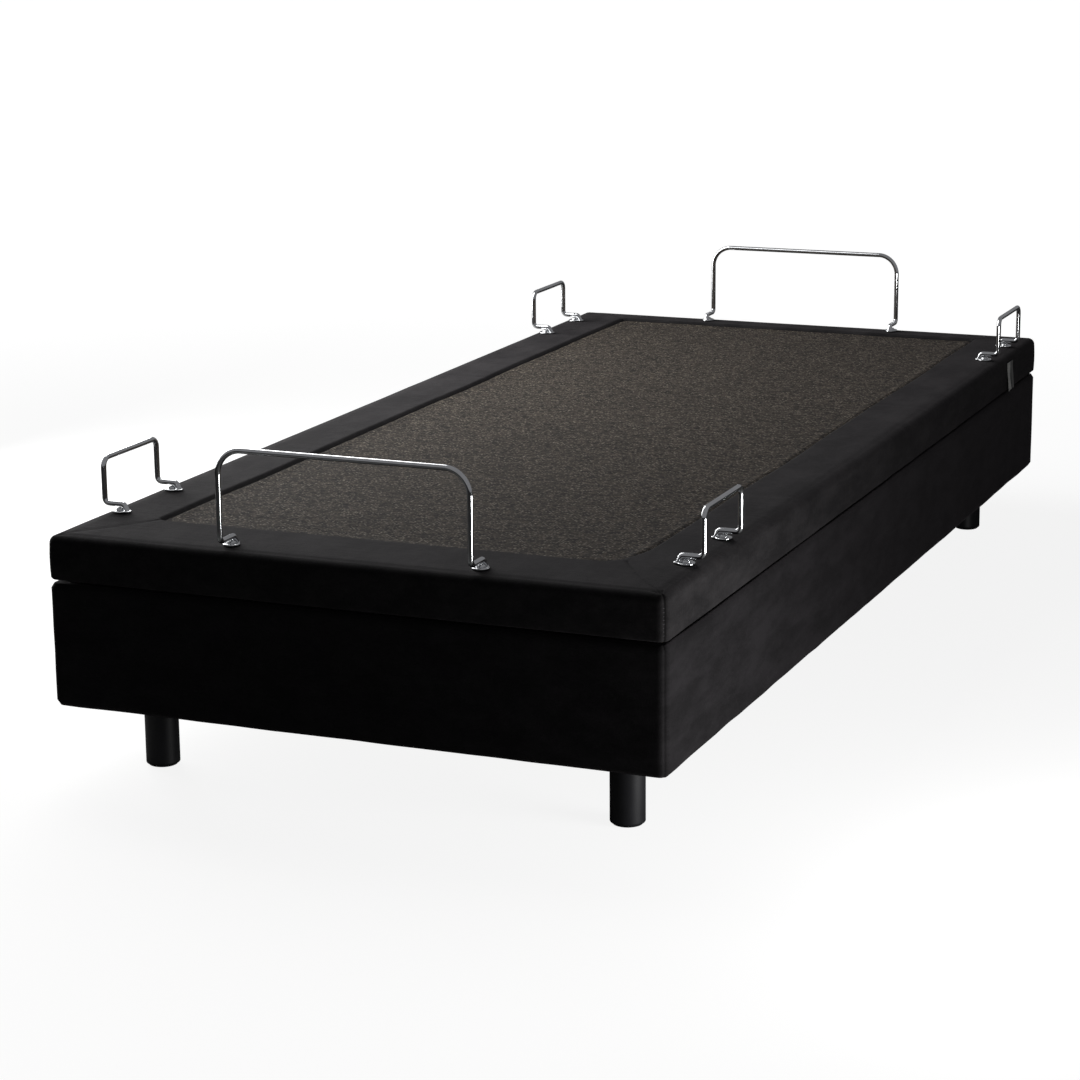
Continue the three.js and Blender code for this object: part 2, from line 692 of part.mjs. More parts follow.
function buildLift(name, plan, geometry, plane) {
  const group = groupIn(object);
  const centre = plane(geometry.centre);
  const tip = plane(geometry.rest);
  const tubeEnd = railInner - shaftEnds.tubeGap;
  const stubEnd = railOuter - shaftEnds.stubSetback;
  const pieces = [
    rodAlongX(shaft.radius, [-tubeEnd, tubeEnd], ...centre),
    rodAlongX(shaft.stubRadius, [-stubEnd, stubEnd], ...centre),
  ];
  const armOutline = barOutline(centre, tip, arm.shaftEndRadius, arm.rollerEndRadius);
  const axleInner = arm.side + arm.thickness / 2;
  const rollerInner = axleInner + rollerGap.arm;
  const rollerOuter = rollerInner + roller.width;
  const axleOuter = rollerOuter + rollerGap.head;
  for (const s of [-1, 1]) {
    const mirrored = (x) => x.map((value) => s * value).sort((a, b) => a - b);
    pieces.push(plateAcross(armOutline, mirrored([arm.side - arm.thickness / 2, axleInner])));
    const axleX = mirrored([axleInner - sink, axleOuter + sink]);
    const headX = mirrored([axleOuter, axleOuter + roller.headThickness]);
    pieces.push(rodAlongX(roller.axleRadius, axleX, ...tip, pinSides));
    pieces.push(rodAlongX(roller.headRadius, headX, ...tip, pinSides));
  }
  const crankX = plan.motorSide * crank.side;
  const pin = plane(geometry.pinRest);
  const pinHalf = crank.thickness / 2 + fork.sideGap + fork.plate + crank.pinEnd;
  pieces.push(
    plateAcross(barOutline(centre, pin, crank.hubRadius, crank.eyeRadius), span(crankX, crank.thickness)),
    rodAlongX(crank.pinRadius, span(crankX, 2 * pinHalf), ...pin, pinSides),
  );
  place(group, `${name}_lift_shaft`, join(...pieces), blackPaint);

  for (const [side, s] of [["left", -1], ["right", 1]]) {
    const x = [s * rollerInner, s * rollerOuter].sort((a, b) => a - b);
    const wheel = rodAlongX(roller.radius, x, ...tip);
    const boreX = [x[0] - overcut, x[1] + overcut];
    const bore = rodAlongX(roller.axleRadius + roller.clearance, boreX, ...tip, pinSides);
    place(group, `${name}_roller_${side}`, cut(wheel, bore), greyPlastic);
  }
}

// ---------------------------------------------------------------- linear actuators

// The housing lies along +Y from its rear eye at the origin, and is then turned and placed.
function housingShape(drive, motorSide) {
  const gearY = [actuator.eyeReach, actuator.eyeReach + actuator.gearbox];
  const tubeEnd = drive.retracted - actuator.tubeFrontGap;
  const half = actuator.gearbox / 2;
  const eyeEnd = [actuator.eyeReach + 2 * sink, 0];
  const eyeOutline = barOutline([0, 0], eyeEnd, actuator.eyeRadius, actuator.eyeRadius);
  const tube = new THREE.CylinderGeometry(
    actuator.tubeRadius,
    actuator.tubeRadius,
    tubeEnd - gearY[1] + sink,
    roundSides,
  ).translate(0, (tubeEnd + gearY[1] - sink) / 2, 0);
  const boreStart = gearY[0] + actuator.boreFloor;
  const bore = new THREE.CylinderGeometry(
    actuator.boreRadius,
    actuator.boreRadius,
    tubeEnd + overcut - boreStart,
    pinSides,
  ).translate(0, (tubeEnd + overcut + boreStart) / 2, 0);
  const motorX = [half - sink, half + actuator.motorLength].map((x) => x * motorSide).sort((a, b) => a - b);
  const body = join(
    plateAcross(eyeOutline, span(0, actuator.eyeWidth)),
    box([-half, half], gearY, [-half, half]),
    rodAlongX(actuator.motorRadius, motorX, (gearY[0] + gearY[1]) / 2, 0),
    tube,
  );
  const eyeX = span(0, 2 * actuator.eyeWidth);
  const eyeHole = rodAlongX(crank.pinRadius + shaft.bearingClearance, eyeX, 0, 0, pinSides);
  return cut(body, eyeHole, bore);
}

// The rod with its slotted fork, in the same frame as the housing. The crank pin stands at the
// upper end of the slots when the section is flat and fully up, and drops in them half way.
function rodShape(drive) {
  const pinY = drive.retracted;
  const inner = crank.thickness / 2 + fork.sideGap;
  const outer = inner + fork.plate;
  const top = forkSlot.across + fork.headroom;
  const plateZ = [top - fork.height, top];
  const neckY = [pinY - fork.reachBehind - fork.neck, pinY - fork.reachBehind];
  const rod = new THREE.CylinderGeometry(
    actuator.rodRadius,
    actuator.rodRadius,
    actuator.rodTail - fork.reachBehind - sink,
    roundSides,
  ).translate(0, pinY - (actuator.rodTail + fork.reachBehind + sink) / 2, 0);
  const cheeks = [-1, 1].map((s) =>
    box(
      [s * inner, s * outer].sort((a, b) => a - b),
      [neckY[0], pinY + fork.reachAhead],
      plateZ,
    ),
  );
  const neck = box([-outer, outer], neckY, [-actuator.rodRadius, actuator.rodRadius]);
  const slot = box(
    [-outer - overcut, outer + overcut],
    span(pinY, 2 * forkSlot.along),
    [-forkSlot.acrossBelow, forkSlot.across],
  );
  return cut(join(rod, neck, ...cheeks), slot);
}

function buildActuator(name, drive, plan, plane, direction) {
  const group = groupIn(object);
  const [y, z] = plane(drive.rear);
  group.position.set(plan.motorSide * crank.side, y, z);
  group.rotation.x = direction > 0 ? drive.tilt : -drive.tilt;
  const facing = new THREE.Matrix4().makeScale(1, direction, 1);
  const turnedRound = (geometry) =>
    direction > 0 ? geometry : flipFaces(geometry.clone().applyMatrix4(facing));
  const housing = turnedRound(housingShape(drive, plan.motorSide));
  place(group, `${name}_actuator_housing`, housing, blackPlastic);
  place(group, `${name}_actuator_rod`, turnedRound(rodShape(drive)), zincSteel);
}

function flipFaces(geometry) {
  const index = geometry.index.array;
  for (let i = 0; i < index.length; i += 3) {
    [index[i + 1], index[i + 2]] = [index[i + 2], index[i + 1]];
  }
  return geometry;
}

// ---------------------------------------------------------------- calf links

function buildCalfLinks() {
  const group = groupIn(object);
  const pivot = thighPlane(calfGeometry.pivot);
  const tip = thighPlane(calfGeometry.rest);
  const half = calfLink.thickness / 2;
  const radius = calfLink.width / 2;
  const pivotEnd = railOuter - shaftEnds.stubSetback;
  const tipEnd = calfBracket.side + calfBracket.thickness / 2 + calfPinEnd;
  for (const [side, s] of [["left", -1], ["right", 1]]) {
    const mirrored = (x) => x.map((value) => s * value).sort((a, b) => a - b);
    const link = join(
      plateAcross(
        barOutline(pivot, tip, calfLink.hubRadius, radius),
        mirrored([calfLink.side - half, calfLink.side + half]),
      ),
      rodAlongX(calfLink.pinRadius, mirrored([calfLink.side, pivotEnd]), ...pivot, pinSides),
      rodAlongX(calfLink.pinRadius, mirrored([calfLink.side, tipEnd]), ...tip, pinSides),
    );
    place(group, `calf_link_${side}`, link, blackPaint);

    const slotRadius = calfLink.pinRadius + calfBracket.slotClearance;
    const outline = [
      [tip[0] - calfPlate.rearTop, boardBottom - touchGap],
      [tip[0] - calfPlate.rearLow, tip[1] - calfPlate.below],
      [tip[0] + calfPlate.frontLow, tip[1] - calfPlate.below],
      [tip[0] + calfPlate.frontTop, boardBottom - touchGap],
    ];
    const plate = plateAcross(
      outline,
      mirrored([
        calfBracket.side - calfBracket.thickness / 2,
        calfBracket.side + calfBracket.thickness / 2,
      ]),
    );
    const slot = plateAcross(
      barOutline(tip, [tip[0] + calfBracket.slotTravel, tip[1]], slotRadius, slotRadius),
      mirrored(span(calfBracket.side, 4 * calfBracket.thickness)),
    );
    place(group, `calf_bracket_${side}`, cut(plate, slot), zincSteel);
  }
}

buildSurround();
buildLegs();
buildFrame();
buildPlatform();
buildLift("head", headLift, headGeometry, headPlane);
buildLift("thigh", thighLift, thighGeometry, thighPlane);
buildActuator("head", headDrive, headLift, headPlane, 1);
buildActuator("thigh", thighDrive, thighLift, thighPlane, -1);
buildCalfLinks();

export default object;
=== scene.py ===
"""Adjustable bed base: the upholstery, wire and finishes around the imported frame."""

import math

import bmesh
import bpy
import numpy as np
from mathutils import Matrix, Vector, noise


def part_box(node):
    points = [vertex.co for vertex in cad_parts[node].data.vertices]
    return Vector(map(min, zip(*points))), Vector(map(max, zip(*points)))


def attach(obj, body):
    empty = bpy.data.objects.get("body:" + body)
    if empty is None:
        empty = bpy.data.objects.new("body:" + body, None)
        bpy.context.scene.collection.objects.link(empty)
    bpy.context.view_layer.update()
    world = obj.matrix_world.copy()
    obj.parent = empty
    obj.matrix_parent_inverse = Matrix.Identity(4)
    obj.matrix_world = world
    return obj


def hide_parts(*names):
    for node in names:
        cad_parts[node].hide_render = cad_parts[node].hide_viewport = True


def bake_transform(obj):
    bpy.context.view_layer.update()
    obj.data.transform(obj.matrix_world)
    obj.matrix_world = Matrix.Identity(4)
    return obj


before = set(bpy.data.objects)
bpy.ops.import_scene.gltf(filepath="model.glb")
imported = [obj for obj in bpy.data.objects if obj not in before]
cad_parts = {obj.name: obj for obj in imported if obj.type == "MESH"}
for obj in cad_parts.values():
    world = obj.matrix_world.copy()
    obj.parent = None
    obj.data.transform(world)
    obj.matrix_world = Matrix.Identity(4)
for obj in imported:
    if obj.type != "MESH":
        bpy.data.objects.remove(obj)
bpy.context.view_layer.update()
MM = 0.001

# ------------------------------------------------------------------ the base's sizes, in metres

HALF_WIDTH = 0.460
HALF_LENGTH = 1.015
DECK_TOP = 0.360
DECK_UNDER = 0.2949  # a dust cover under the boards, just above the side rails
PANEL_TOP = 0.3553  # the non-slip panel lies below the padded border
SURROUND_TOP = 0.2904
SURROUND_BOTTOM = 0.1120
SURROUND_WALL = 0.0222
HEAD_HINGE_Y = 0.275
THIGH_HINGE_Y = -0.025
KNEE_HINGE_Y = -0.435
SEAT_CUT_Y = 0.125
THIGH_CUT_Y = -0.230

PANEL_HALF_WIDTH = 0.355
PANEL_FOOT_Y = -0.875
PANEL_HEAD_Y = 0.947

TAG_FOOT_Y = 0.786
TAG_HEAD_Y = 0.824
TAG_TOP = 0.3475
TAG_LOW = 0.2985
TAG_BAND_Y = 0.8065  # a dark band starts here
TAG_FIELD_Y = 0.8130  # and the printed field beside it here

# ------------------------------------------------------------------ camera


def look_through(place, yaw, pitch, roll, lens):
    """A camera turned left by yaw and down by pitch from looking along +Y."""
    ahead = Vector((-math.sin(yaw) * math.cos(pitch), math.cos(yaw) * math.cos(pitch), -math.sin(pitch)))
    right = Vector((math.cos(yaw), math.sin(yaw), 0))
    up = right.cross(ahead)
    tilted_right = right * math.cos(roll) + up * math.sin(roll)
    tilted_up = up * math.cos(roll) - right * math.sin(roll)
    camera = bpy.data.objects.new("camera", bpy.data.cameras.new("camera"))
    camera.data.lens = lens
    camera.data.sensor_width = 36
    camera.data.clip_end = 100
    turn = Matrix((tilted_right, tilted_up, -ahead)).transposed().to_4x4()
    camera.matrix_world = Matrix.Translation(place) @ turn
    bpy.context.scene.collection.objects.link(camera)
    bpy.context.scene.camera = camera


look_through(
    place=(1.6916, -4.3682, 1.3137),
    yaw=math.radians(22.740),
    pitch=math.radians(13.862),
    roll=math.radians(-0.538),
    lens=96.80,
)

# ------------------------------------------------------------------ finishes


def srgb(code):
    """A colour from its sRGB hex code, as linear RGBA."""
    channels = [int(code[i : i + 2], 16) / 255 for i in (1, 3, 5)]
    linear = [c / 12.92 if c <= 0.04045 else ((c + 0.055) / 1.055) ** 2.4 for c in channels]
    return (*linear, 1.0)


def add(tree, kind, inputs=None, **settings):
    """Adds a node with its settings; an input is a value or another node's output."""
    node = tree.nodes.new(kind)
    for name, value in settings.items():
        setattr(node, name, value)
    for name, value in (inputs or {}).items():
        if isinstance(value, bpy.types.NodeSocket):
            tree.links.new(value, node.inputs[name])
        else:
            node.inputs[name].default_value = value
    return node


def finish_named(name, **values):
    """A new material: its tree, its surface node and the object's own coordinates."""
    material = bpy.data.materials.new(name)
    material.use_nodes = True
    tree = material.node_tree
    surface = tree.nodes["Principled BSDF"]
    for socket, value in values.items():
        surface.inputs[socket.replace("_", " ")].default_value = value
    place = add(tree, "ShaderNodeTexCoord").outputs["Object"]
    return material, tree, surface, place


def mixed(tree, share, first, second):
    """Two colours (hex codes or outputs) mixed by a share."""
    node = add(tree, "ShaderNodeMix", {0: share}, data_type="RGBA")
    for index, colour in ((6, first), (7, second)):
        if isinstance(colour, str):
            node.inputs[index].default_value = srgb(colour)
        else:
            tree.links.new(colour, node.inputs[index])
    return node.outputs[2]


def velour(name, dark, light, sheen):
    """Warp-knitted polyester velour: a short matt pile, brushed in patches, that glows at the edges."""
    material, tree, surface, place = finish_named(name, Roughness=0.92, Sheen_Weight=sheen)
    surface.inputs["Sheen Roughness"].default_value = 0.45
    surface.inputs["Sheen Tint"].default_value = srgb("#8f878c")
    surface.inputs["Specular IOR Level"].default_value = 0.18
    brushed = add(tree, "ShaderNodeMapping", {"Vector": place, "Scale": (1.0, 0.55, 1.6)}).outputs[0]
    patches = add(
        tree, "ShaderNodeTexNoise", {"Vector": brushed, "Scale": 16.0, "Detail": 6.0, "Roughness": 0.72}
    ).outputs["Fac"]
    # 1.3 mm tufts, the finest the pile can be drawn
    pile = add(
        tree,
        "ShaderNodeTexNoise",
        {"Vector": place, "Scale": 1 / (1.3 * MM), "Detail": 2.0, "Roughness": 0.7},
    ).outputs["Fac"]
    mottle = add(
        tree,
        "ShaderNodeMapRange",
        {"Value": patches, "From Min": 0.40, "From Max": 0.64, "To Min": 0.0, "To Max": 0.6},
    ).outputs[0]
    fleck = add(
        tree,
        "ShaderNodeMapRange",
        {"Value": pile, "From Min": 0.35, "From Max": 0.75, "To Min": 0.0, "To Max": 0.35},
    ).outputs[0]
    share = add(tree, "ShaderNodeMath", {0: mottle, 1: fleck}, operation="ADD", use_clamp=True).outputs[0]
    shade = mixed(tree, share, dark, light)
    return material, tree, surface, place, shade, patches, pile


def platform_cover_finish():
    """The deck's cover: velour border with sewn mitres round a non-slip dotted panel."""
    material, tree, surface, place, border, _, pile = velour(
        "black_velour_border_and_nonslip_panel", "#1a191a", "#383637", 0.10
    )
    from_seam = add(tree, "ShaderNodeAttribute", attribute_name="from_panel_seam").outputs["Fac"]
    from_mitre = add(tree, "ShaderNodeAttribute", attribute_name="from_mitre").outputs["Fac"]
    on_panel = add(
        tree,
        "ShaderNodeMapRange",
        {"Value": from_seam, "From Min": 0.0008, "From Max": -0.0008, "To Min": 0.0, "To Max": 1.0},
    ).outputs[0]
    # PVC grip beads on a warm grey-brown knit, drawn 4.2 mm apart so that they show
    beads_place = add(tree, "ShaderNodeMapping", {"Vector": place, "Scale": (1.0, 1.5, 1.0)}).outputs[0]
    dots = add(
        tree, "ShaderNodeTexVoronoi", {"Vector": beads_place, "Scale": 1 / (4.2 * MM), "Randomness": 1.0}
    )
    grip = add(
        tree,
        "ShaderNodeMapRange",
        {"Value": dots.outputs["Distance"], "From Min": 0.52, "From Max": 0.14, "To Min": 0.0, "To Max": 1.0},
    ).outputs[0]
    tone = add(tree, "ShaderNodeSeparateColor", {"Color": dots.outputs["Color"]}).outputs[0]
    glint = add(
        tree,
        "ShaderNodeMapRange",
        {"Value": tone, "From Min": 0.45, "From Max": 1.0, "To Min": 0.05, "To Max": 1.0},
    ).outputs[0]
    shine = add(tree, "ShaderNodeMath", {0: grip, 1: glint}, operation="MULTIPLY").outputs[0]
    ribs_place = add(tree, "ShaderNodeMapping", {"Vector": place, "Scale": (1.0, 9.0, 1.0)}).outputs[0]
    ribs = add(
        tree, "ShaderNodeTexNoise", {"Vector": ribs_place, "Scale": 11.0, "Detail": 6.0, "Roughness": 0.7}
    ).outputs["Fac"]
    fold_light_and_shade = add(
        tree,
        "ShaderNodeMapRange",
        {"Value": ribs, "From Min": 0.3, "From Max": 0.7, "To Min": 0.0, "To Max": 1.0},
    ).outputs[0]
    clumps = add(
        tree,
        "ShaderNodeTexNoise",
        {"Vector": beads_place, "Scale": 1 / (11 * MM), "Detail": 3.0, "Roughness": 0.7},
    ).outputs["Fac"]
    clumped = add(
        tree, "ShaderNodeMapRange", {"Value": clumps, "From Min": 0.42, "From Max": 0.58}
    ).outputs[0]
    # painted light and shade of the creases: the ground is lighter and darker in rows across the bed, along
    # the ribs noise that also bumps the folds
    ground = mixed(tree, fold_light_and_shade, "#12100f", "#24211f")
    clotted = mixed(tree, clumped, ground, "#4a433b")
    beaded = mixed(tree, shine, clotted, "#bdb29f")
    # painted shade of the creases: dark rows across the bed, along the ribs noise that also bumps the folds
    fold_row_shade = add(
        tree,
        "ShaderNodeMapRange",
        {"Value": ribs, "From Min": 0.50, "From Max": 0.68, "To Min": 0.0, "To Max": 0.55},
    ).outputs[0]
    panel = mixed(tree, fold_row_shade, beaded, "#161310")
    whole = mixed(tree, on_panel, border, panel)
    # painted shade in the seams: the colour darkens to near black close to the panel's seam and the corner
    # seams, standing in for the shade in their grooves
    near_seam = add(tree, "ShaderNodeMath", {0: from_seam}, operation="ABSOLUTE").outputs[0]
    nearest = add(tree, "ShaderNodeMath", {0: near_seam, 1: from_mitre}, operation="MINIMUM").outputs[0]
    shadowed = add(
        tree, "ShaderNodeMapRange", {"Value": nearest, "From Min": 0.0022, "From Max": 0.0006, "To Max": 0.85}
    ).outputs[0]
    sewn = mixed(tree, shadowed, whole, "#050505")
    tree.links.new(sewn, surface.inputs["Base Color"])
    rough = add(
        tree, "ShaderNodeMapRange", {"Value": shine, "From Max": 1.0, "To Min": 0.9, "To Max": 0.55}
    ).outputs[0]
    level = add(tree, "ShaderNodeMix", {0: on_panel, 2: 0.93, 3: rough}, data_type="FLOAT").outputs[0]
    tree.links.new(level, surface.inputs["Roughness"])
    nap = add(tree, "ShaderNodeMath", {0: pile, 1: 0.5}, operation="MULTIPLY").outputs[0]
    grain = add(tree, "ShaderNodeMix", {0: on_panel, 2: nap, 3: grip}, data_type="FLOAT").outputs[0]
    relief = add(tree, "ShaderNodeBump", {"Height": grain, "Distance": 0.5 * MM, "Strength": 0.8}).outputs[0]
    folds = add(
        tree, "ShaderNodeBump", {"Height": ribs, "Distance": 2.0 * MM, "Strength": 0.35, "Normal": relief}
    ).outputs[0]
    tree.links.new(folds, surface.inputs["Normal"])
    return material


def surround_finish():
    """Deep black upholstery velour round the base, its pile slightly crushed in patches."""
    material, tree, surface, _, shade, patches, pile = velour(
        "deep_black_upholstery_velour", "#131213", "#2c2a2c", 0.20
    )
    tree.links.new(shade, surface.inputs["Base Color"])
    nap = add(tree, "ShaderNodeBump", {"Height": pile, "Distance": 0.35 * MM, "Strength": 0.7}).outputs[0]
    crush = add(
        tree, "ShaderNodeBump", {"Height": patches, "Distance": 2.5 * MM, "Strength": 0.35, "Normal": nap}
    ).outputs[0]
    tree.links.new(crush, surface.inputs["Normal"])
    return material


def chrome_finish():
    """Bright chrome-plated steel wire: mirror bright, with the faint draw lines of the wire under it."""
    material, tree, surface, place = finish_named("bright_chrome_plated_wire", Metallic=1.0, Roughness=0.09)
    smudge = add(tree, "ShaderNodeTexNoise", {"Vector": place, "Scale": 60.0, "Detail": 4.0}).outputs["Fac"]
    tint = mixed(tree, smudge, "#d2d4d6", "#f2f3f4")
    tree.links.new(tint, surface.inputs["Base Color"])
    haze = add(tree, "ShaderNodeMapRange", {"Value": smudge, "To Min": 0.05, "To Max": 0.16}).outputs[0]
    tree.links.new(haze, surface.inputs["Roughness"])
    lines = add(
        tree, "ShaderNodeTexNoise", {"Vector": place, "Scale": 1 / (1.5 * MM), "Detail": 1.0}
    ).outputs["Fac"]
    bump = add(tree, "ShaderNodeBump", {"Height": lines, "Distance": 0.05 * MM, "Strength": 0.25}).outputs[0]
    tree.links.new(bump, surface.inputs["Normal"])
    return material


def zinc_finish():
    """Bright zinc-plated steel: cool grey spangle, slightly hazed."""
    material, tree, surface, place = finish_named("bright_zinc_plated_steel", Metallic=1.0)
    spangle = add(tree, "ShaderNodeTexVoronoi", {"Vector": place, "Scale": 1 / (6 * MM)}).outputs["Color"]
    grey = add(tree, "ShaderNodeSeparateColor", {"Color": spangle}).outputs[0]
    tree.links.new(mixed(tree, grey, "#85888b", "#b9bcbf"), surface.inputs["Base Color"])
    haze = add(tree, "ShaderNodeMapRange", {"Value": grey, "To Min": 0.28, "To Max": 0.46}).outputs[0]
    tree.links.new(haze, surface.inputs["Roughness"])
    bump = add(tree, "ShaderNodeBump", {"Height": grey, "Distance": 0.08 * MM, "Strength": 0.3}).outputs[0]
    tree.links.new(bump, surface.inputs["Normal"])
    return material


def powder_coat(name, dark, light, roughness, grain_mm):
    """Textured powder coat on steel: fine orange peel, a little uneven in tone and gloss."""
    material, tree, surface, place = finish_named(name)
    peel = add(
        tree, "ShaderNodeTexNoise", {"Vector": place, "Scale": 1 / (grain_mm * MM), "Detail": 2.0}
    ).outputs["Fac"]
    cloud = add(tree, "ShaderNodeTexNoise", {"Vector": place, "Scale": 22.0, "Detail": 5.0}).outputs["Fac"]
    tree.links.new(mixed(tree, cloud, dark, light), surface.inputs["Base Color"])
    haze = add(
        tree, "ShaderNodeMapRange", {"Value": cloud, "To Min": roughness - 0.08, "To Max": roughness + 0.1}
    ).outputs[0]
    tree.links.new(haze, surface.inputs["Roughness"])
    bump = add(tree, "ShaderNodeBump", {"Height": peel, "Distance": 0.15 * MM, "Strength": 0.5}).outputs[0]
    tree.links.new(bump, surface.inputs["Normal"])
    return material


def plywood_finish():
    """Poplar plywood: long pale figure on the faces and thin dark glue lines on the edges."""
    material, tree, surface, place = finish_named("poplar_plywood", Roughness=0.62)
    along = add(tree, "ShaderNodeMapping", {"Vector": place, "Scale": (1.4, 22.0, 22.0)}).outputs[0]
    figure = add(
        tree,
        "ShaderNodeTexNoise",
        {"Vector": along, "Scale": 3.0, "Detail": 8.0, "Roughness": 0.65, "Distortion": 0.6},
    ).outputs["Fac"]
    face = mixed(tree, figure, "#b08a5c", "#dcbd90")
    height = add(tree, "ShaderNodeSeparateXYZ", {"Vector": place}).outputs["Z"]
    # a dark glue line every 4 mm of the height
    veneer = add(tree, "ShaderNodeMath", {0: height, 1: 1 / (4 * MM)}, operation="MULTIPLY").outputs[0]
    band = add(tree, "ShaderNodeMath", {0: veneer}, operation="FRACT").outputs[0]
    glue = add(
        tree, "ShaderNodeMath", {0: band, 1: 0.5, 2: 0.08}, operation="COMPARE"
    ).outputs[0]
    # the lines show on what stands steeply in the room, which at rest is only the edges
    facing = add(tree, "ShaderNodeNewGeometry").outputs["Normal"]
    upward = add(tree, "ShaderNodeSeparateXYZ", {"Vector": facing}).outputs["Z"]
    flat = add(tree, "ShaderNodeMath", {0: upward}, operation="ABSOLUTE").outputs[0]
    side = add(tree, "ShaderNodeMath", {0: 0.5, 1: flat}, operation="GREATER_THAN").outputs[0]
    line = add(tree, "ShaderNodeMath", {0: glue, 1: side}, operation="MULTIPLY").outputs[0]
    tree.links.new(mixed(tree, line, face, "#5e4527"), surface.inputs["Base Color"])
    bump = add(tree, "ShaderNodeBump", {"Height": figure, "Distance": 0.3 * MM, "Strength": 0.4}).outputs[0]
    tree.links.new(bump, surface.inputs["Normal"])
    return material


def ribbon_finish():
    """Woven satin ribbon, off-white, for the care tag."""
    material, tree, surface, place = finish_named("woven_satin_ribbon", Roughness=0.45, Sheen_Weight=0.3)
    weave = add(
        tree, "ShaderNodeTexNoise", {"Vector": place, "Scale": 1 / (1.0 * MM), "Detail": 2.0}
    ).outputs["Fac"]
    # a plain printed field on its half towards the head end, with a dark band beside it
    across = add(tree, "ShaderNodeSeparateXYZ", {0: place}).outputs["Y"]
    on_print = add(
        tree, "ShaderNodeMath", {0: across, 1: TAG_BAND_Y}, operation="GREATER_THAN"
    ).outputs[0]
    past_band = add(
        tree, "ShaderNodeMath", {0: across, 1: TAG_FIELD_Y}, operation="GREATER_THAN"
    ).outputs[0]
    printed = mixed(tree, past_band, "#161616", "#6d6d6b")
    cloth = mixed(tree, weave, "#e2e2de", "#f6f6f2")
    tree.links.new(mixed(tree, on_print, cloth, printed), surface.inputs["Base Color"])
    bump = add(tree, "ShaderNodeBump", {"Height": weave, "Distance": 0.1 * MM, "Strength": 0.5}).outputs[0]
    tree.links.new(bump, surface.inputs["Normal"])
    return material


COVER = platform_cover_finish()
SURROUND = surround_finish()
CHROME = chrome_finish()
ZINC = zinc_finish()
FRAME_PAINT = powder_coat("black_textured_powder_coat", "#141517", "#202124", 0.48, 1.2)
LEG_PAINT = powder_coat("black_satin_leg_lacquer", "#17171a", "#252528", 0.40, 2.0)
MOULDED = powder_coat("black_spark_eroded_abs", "#17181a", "#242628", 0.55, 0.9)
NYLON = powder_coat("grey_glass_filled_nylon", "#4c4f53", "#6a6d72", 0.50, 1.0)
GLIDE = powder_coat("black_ribbed_glide_plastic", "#101011", "#1b1b1c", 0.6, 1.0)
THREAD = powder_coat("black_bonded_sewing_thread", "#2a282b", "#57535a", 0.5, 0.6)
PLYWOOD = plywood_finish()
RIBBON = ribbon_finish()

# ------------------------------------------------------------------ shaping


def add_piece(name, bm, material, smooth=True, sharp=40):
    """Turns a bmesh into a finished piece with its place in its mesh."""
    mesh = bpy.data.meshes.new(name)
    bm.to_mesh(mesh)
    bm.free()
    mesh.materials.append(material)
    mesh.polygons.foreach_set("use_smooth", [smooth] * len(mesh.polygons))
    if smooth:
        mesh.set_sharp_from_angle(angle=math.radians(sharp))
    piece = bpy.data.objects.new(name, mesh)
    bpy.context.scene.collection.objects.link(piece)
    return piece


def points_of(bm):
    return np.array([v.co for v in bm.verts], float).reshape(-1, 3)


def move_points(bm, points):
    for vertex, point in zip(bm.verts, points):
        vertex.co = point


def wrapped_sheet(across, along, place, merge=1e-6):
    """A flat sheet of across by along squares wrapped on to a shape: place(u, v) gives its points."""
    bm = bmesh.new()
    bmesh.ops.create_grid(bm, x_segments=across, y_segments=along, size=1.0)
    flat = points_of(bm)
    move_points(bm, place((flat[:, 0] + 1) / 2, (flat[:, 1] + 1) / 2))
    bmesh.ops.remove_doubles(bm, verts=bm.verts[:], dist=merge)
    bmesh.ops.recalc_face_normals(bm, faces=bm.faces[:])
    return bm


def smooth_step(value, start, end):
    share = np.clip((value - start) / (end - start), 0, 1)
    return share * share * (3 - 2 * share)


def waves(points, size, seed, stretch=(1, 1, 1)):
    """Smooth noise from -1 to 1 at each point; size is its wavelength in metres."""
    scaled = points * (np.array(stretch) / size) + seed
    return np.array([noise.noise(p) for p in scaled])


def crowded(share, half, places, width, extra):
    """Spreads -1..1 over -half..half, closer together round the given places."""
    line = np.linspace(-half, half, 4001)
    density = np.ones_like(line)
    for place in places:
        density += extra * np.exp(-(((line - place) / width) ** 2))
    run = np.cumsum(density)
    run = (run - run[0]) / (run[-1] - run[0]) * 2 - 1
    return np.interp(share, run, line)


# ------------------------------------------------------------------ platform cover

TOP_ROUND = 0.012
UNDER_ROUND = 0.004
CORNER_ROUND = 0.013
RIM_STEPS = 16
TOP_STEPS = 6
UNDER_STEPS = 4
SEAM_DEPTH = 1.3 * MM
OVAL_WIDTH = 0.048
OVAL_LENGTH = 0.110
EDGE_DIP = 0.0020
SIDE_BULGE = 0.0009
UPPER_SIDE_FROM = 0.345  # the panel and its seam lie above this height
FAR_FROM_SEAM = 0.1


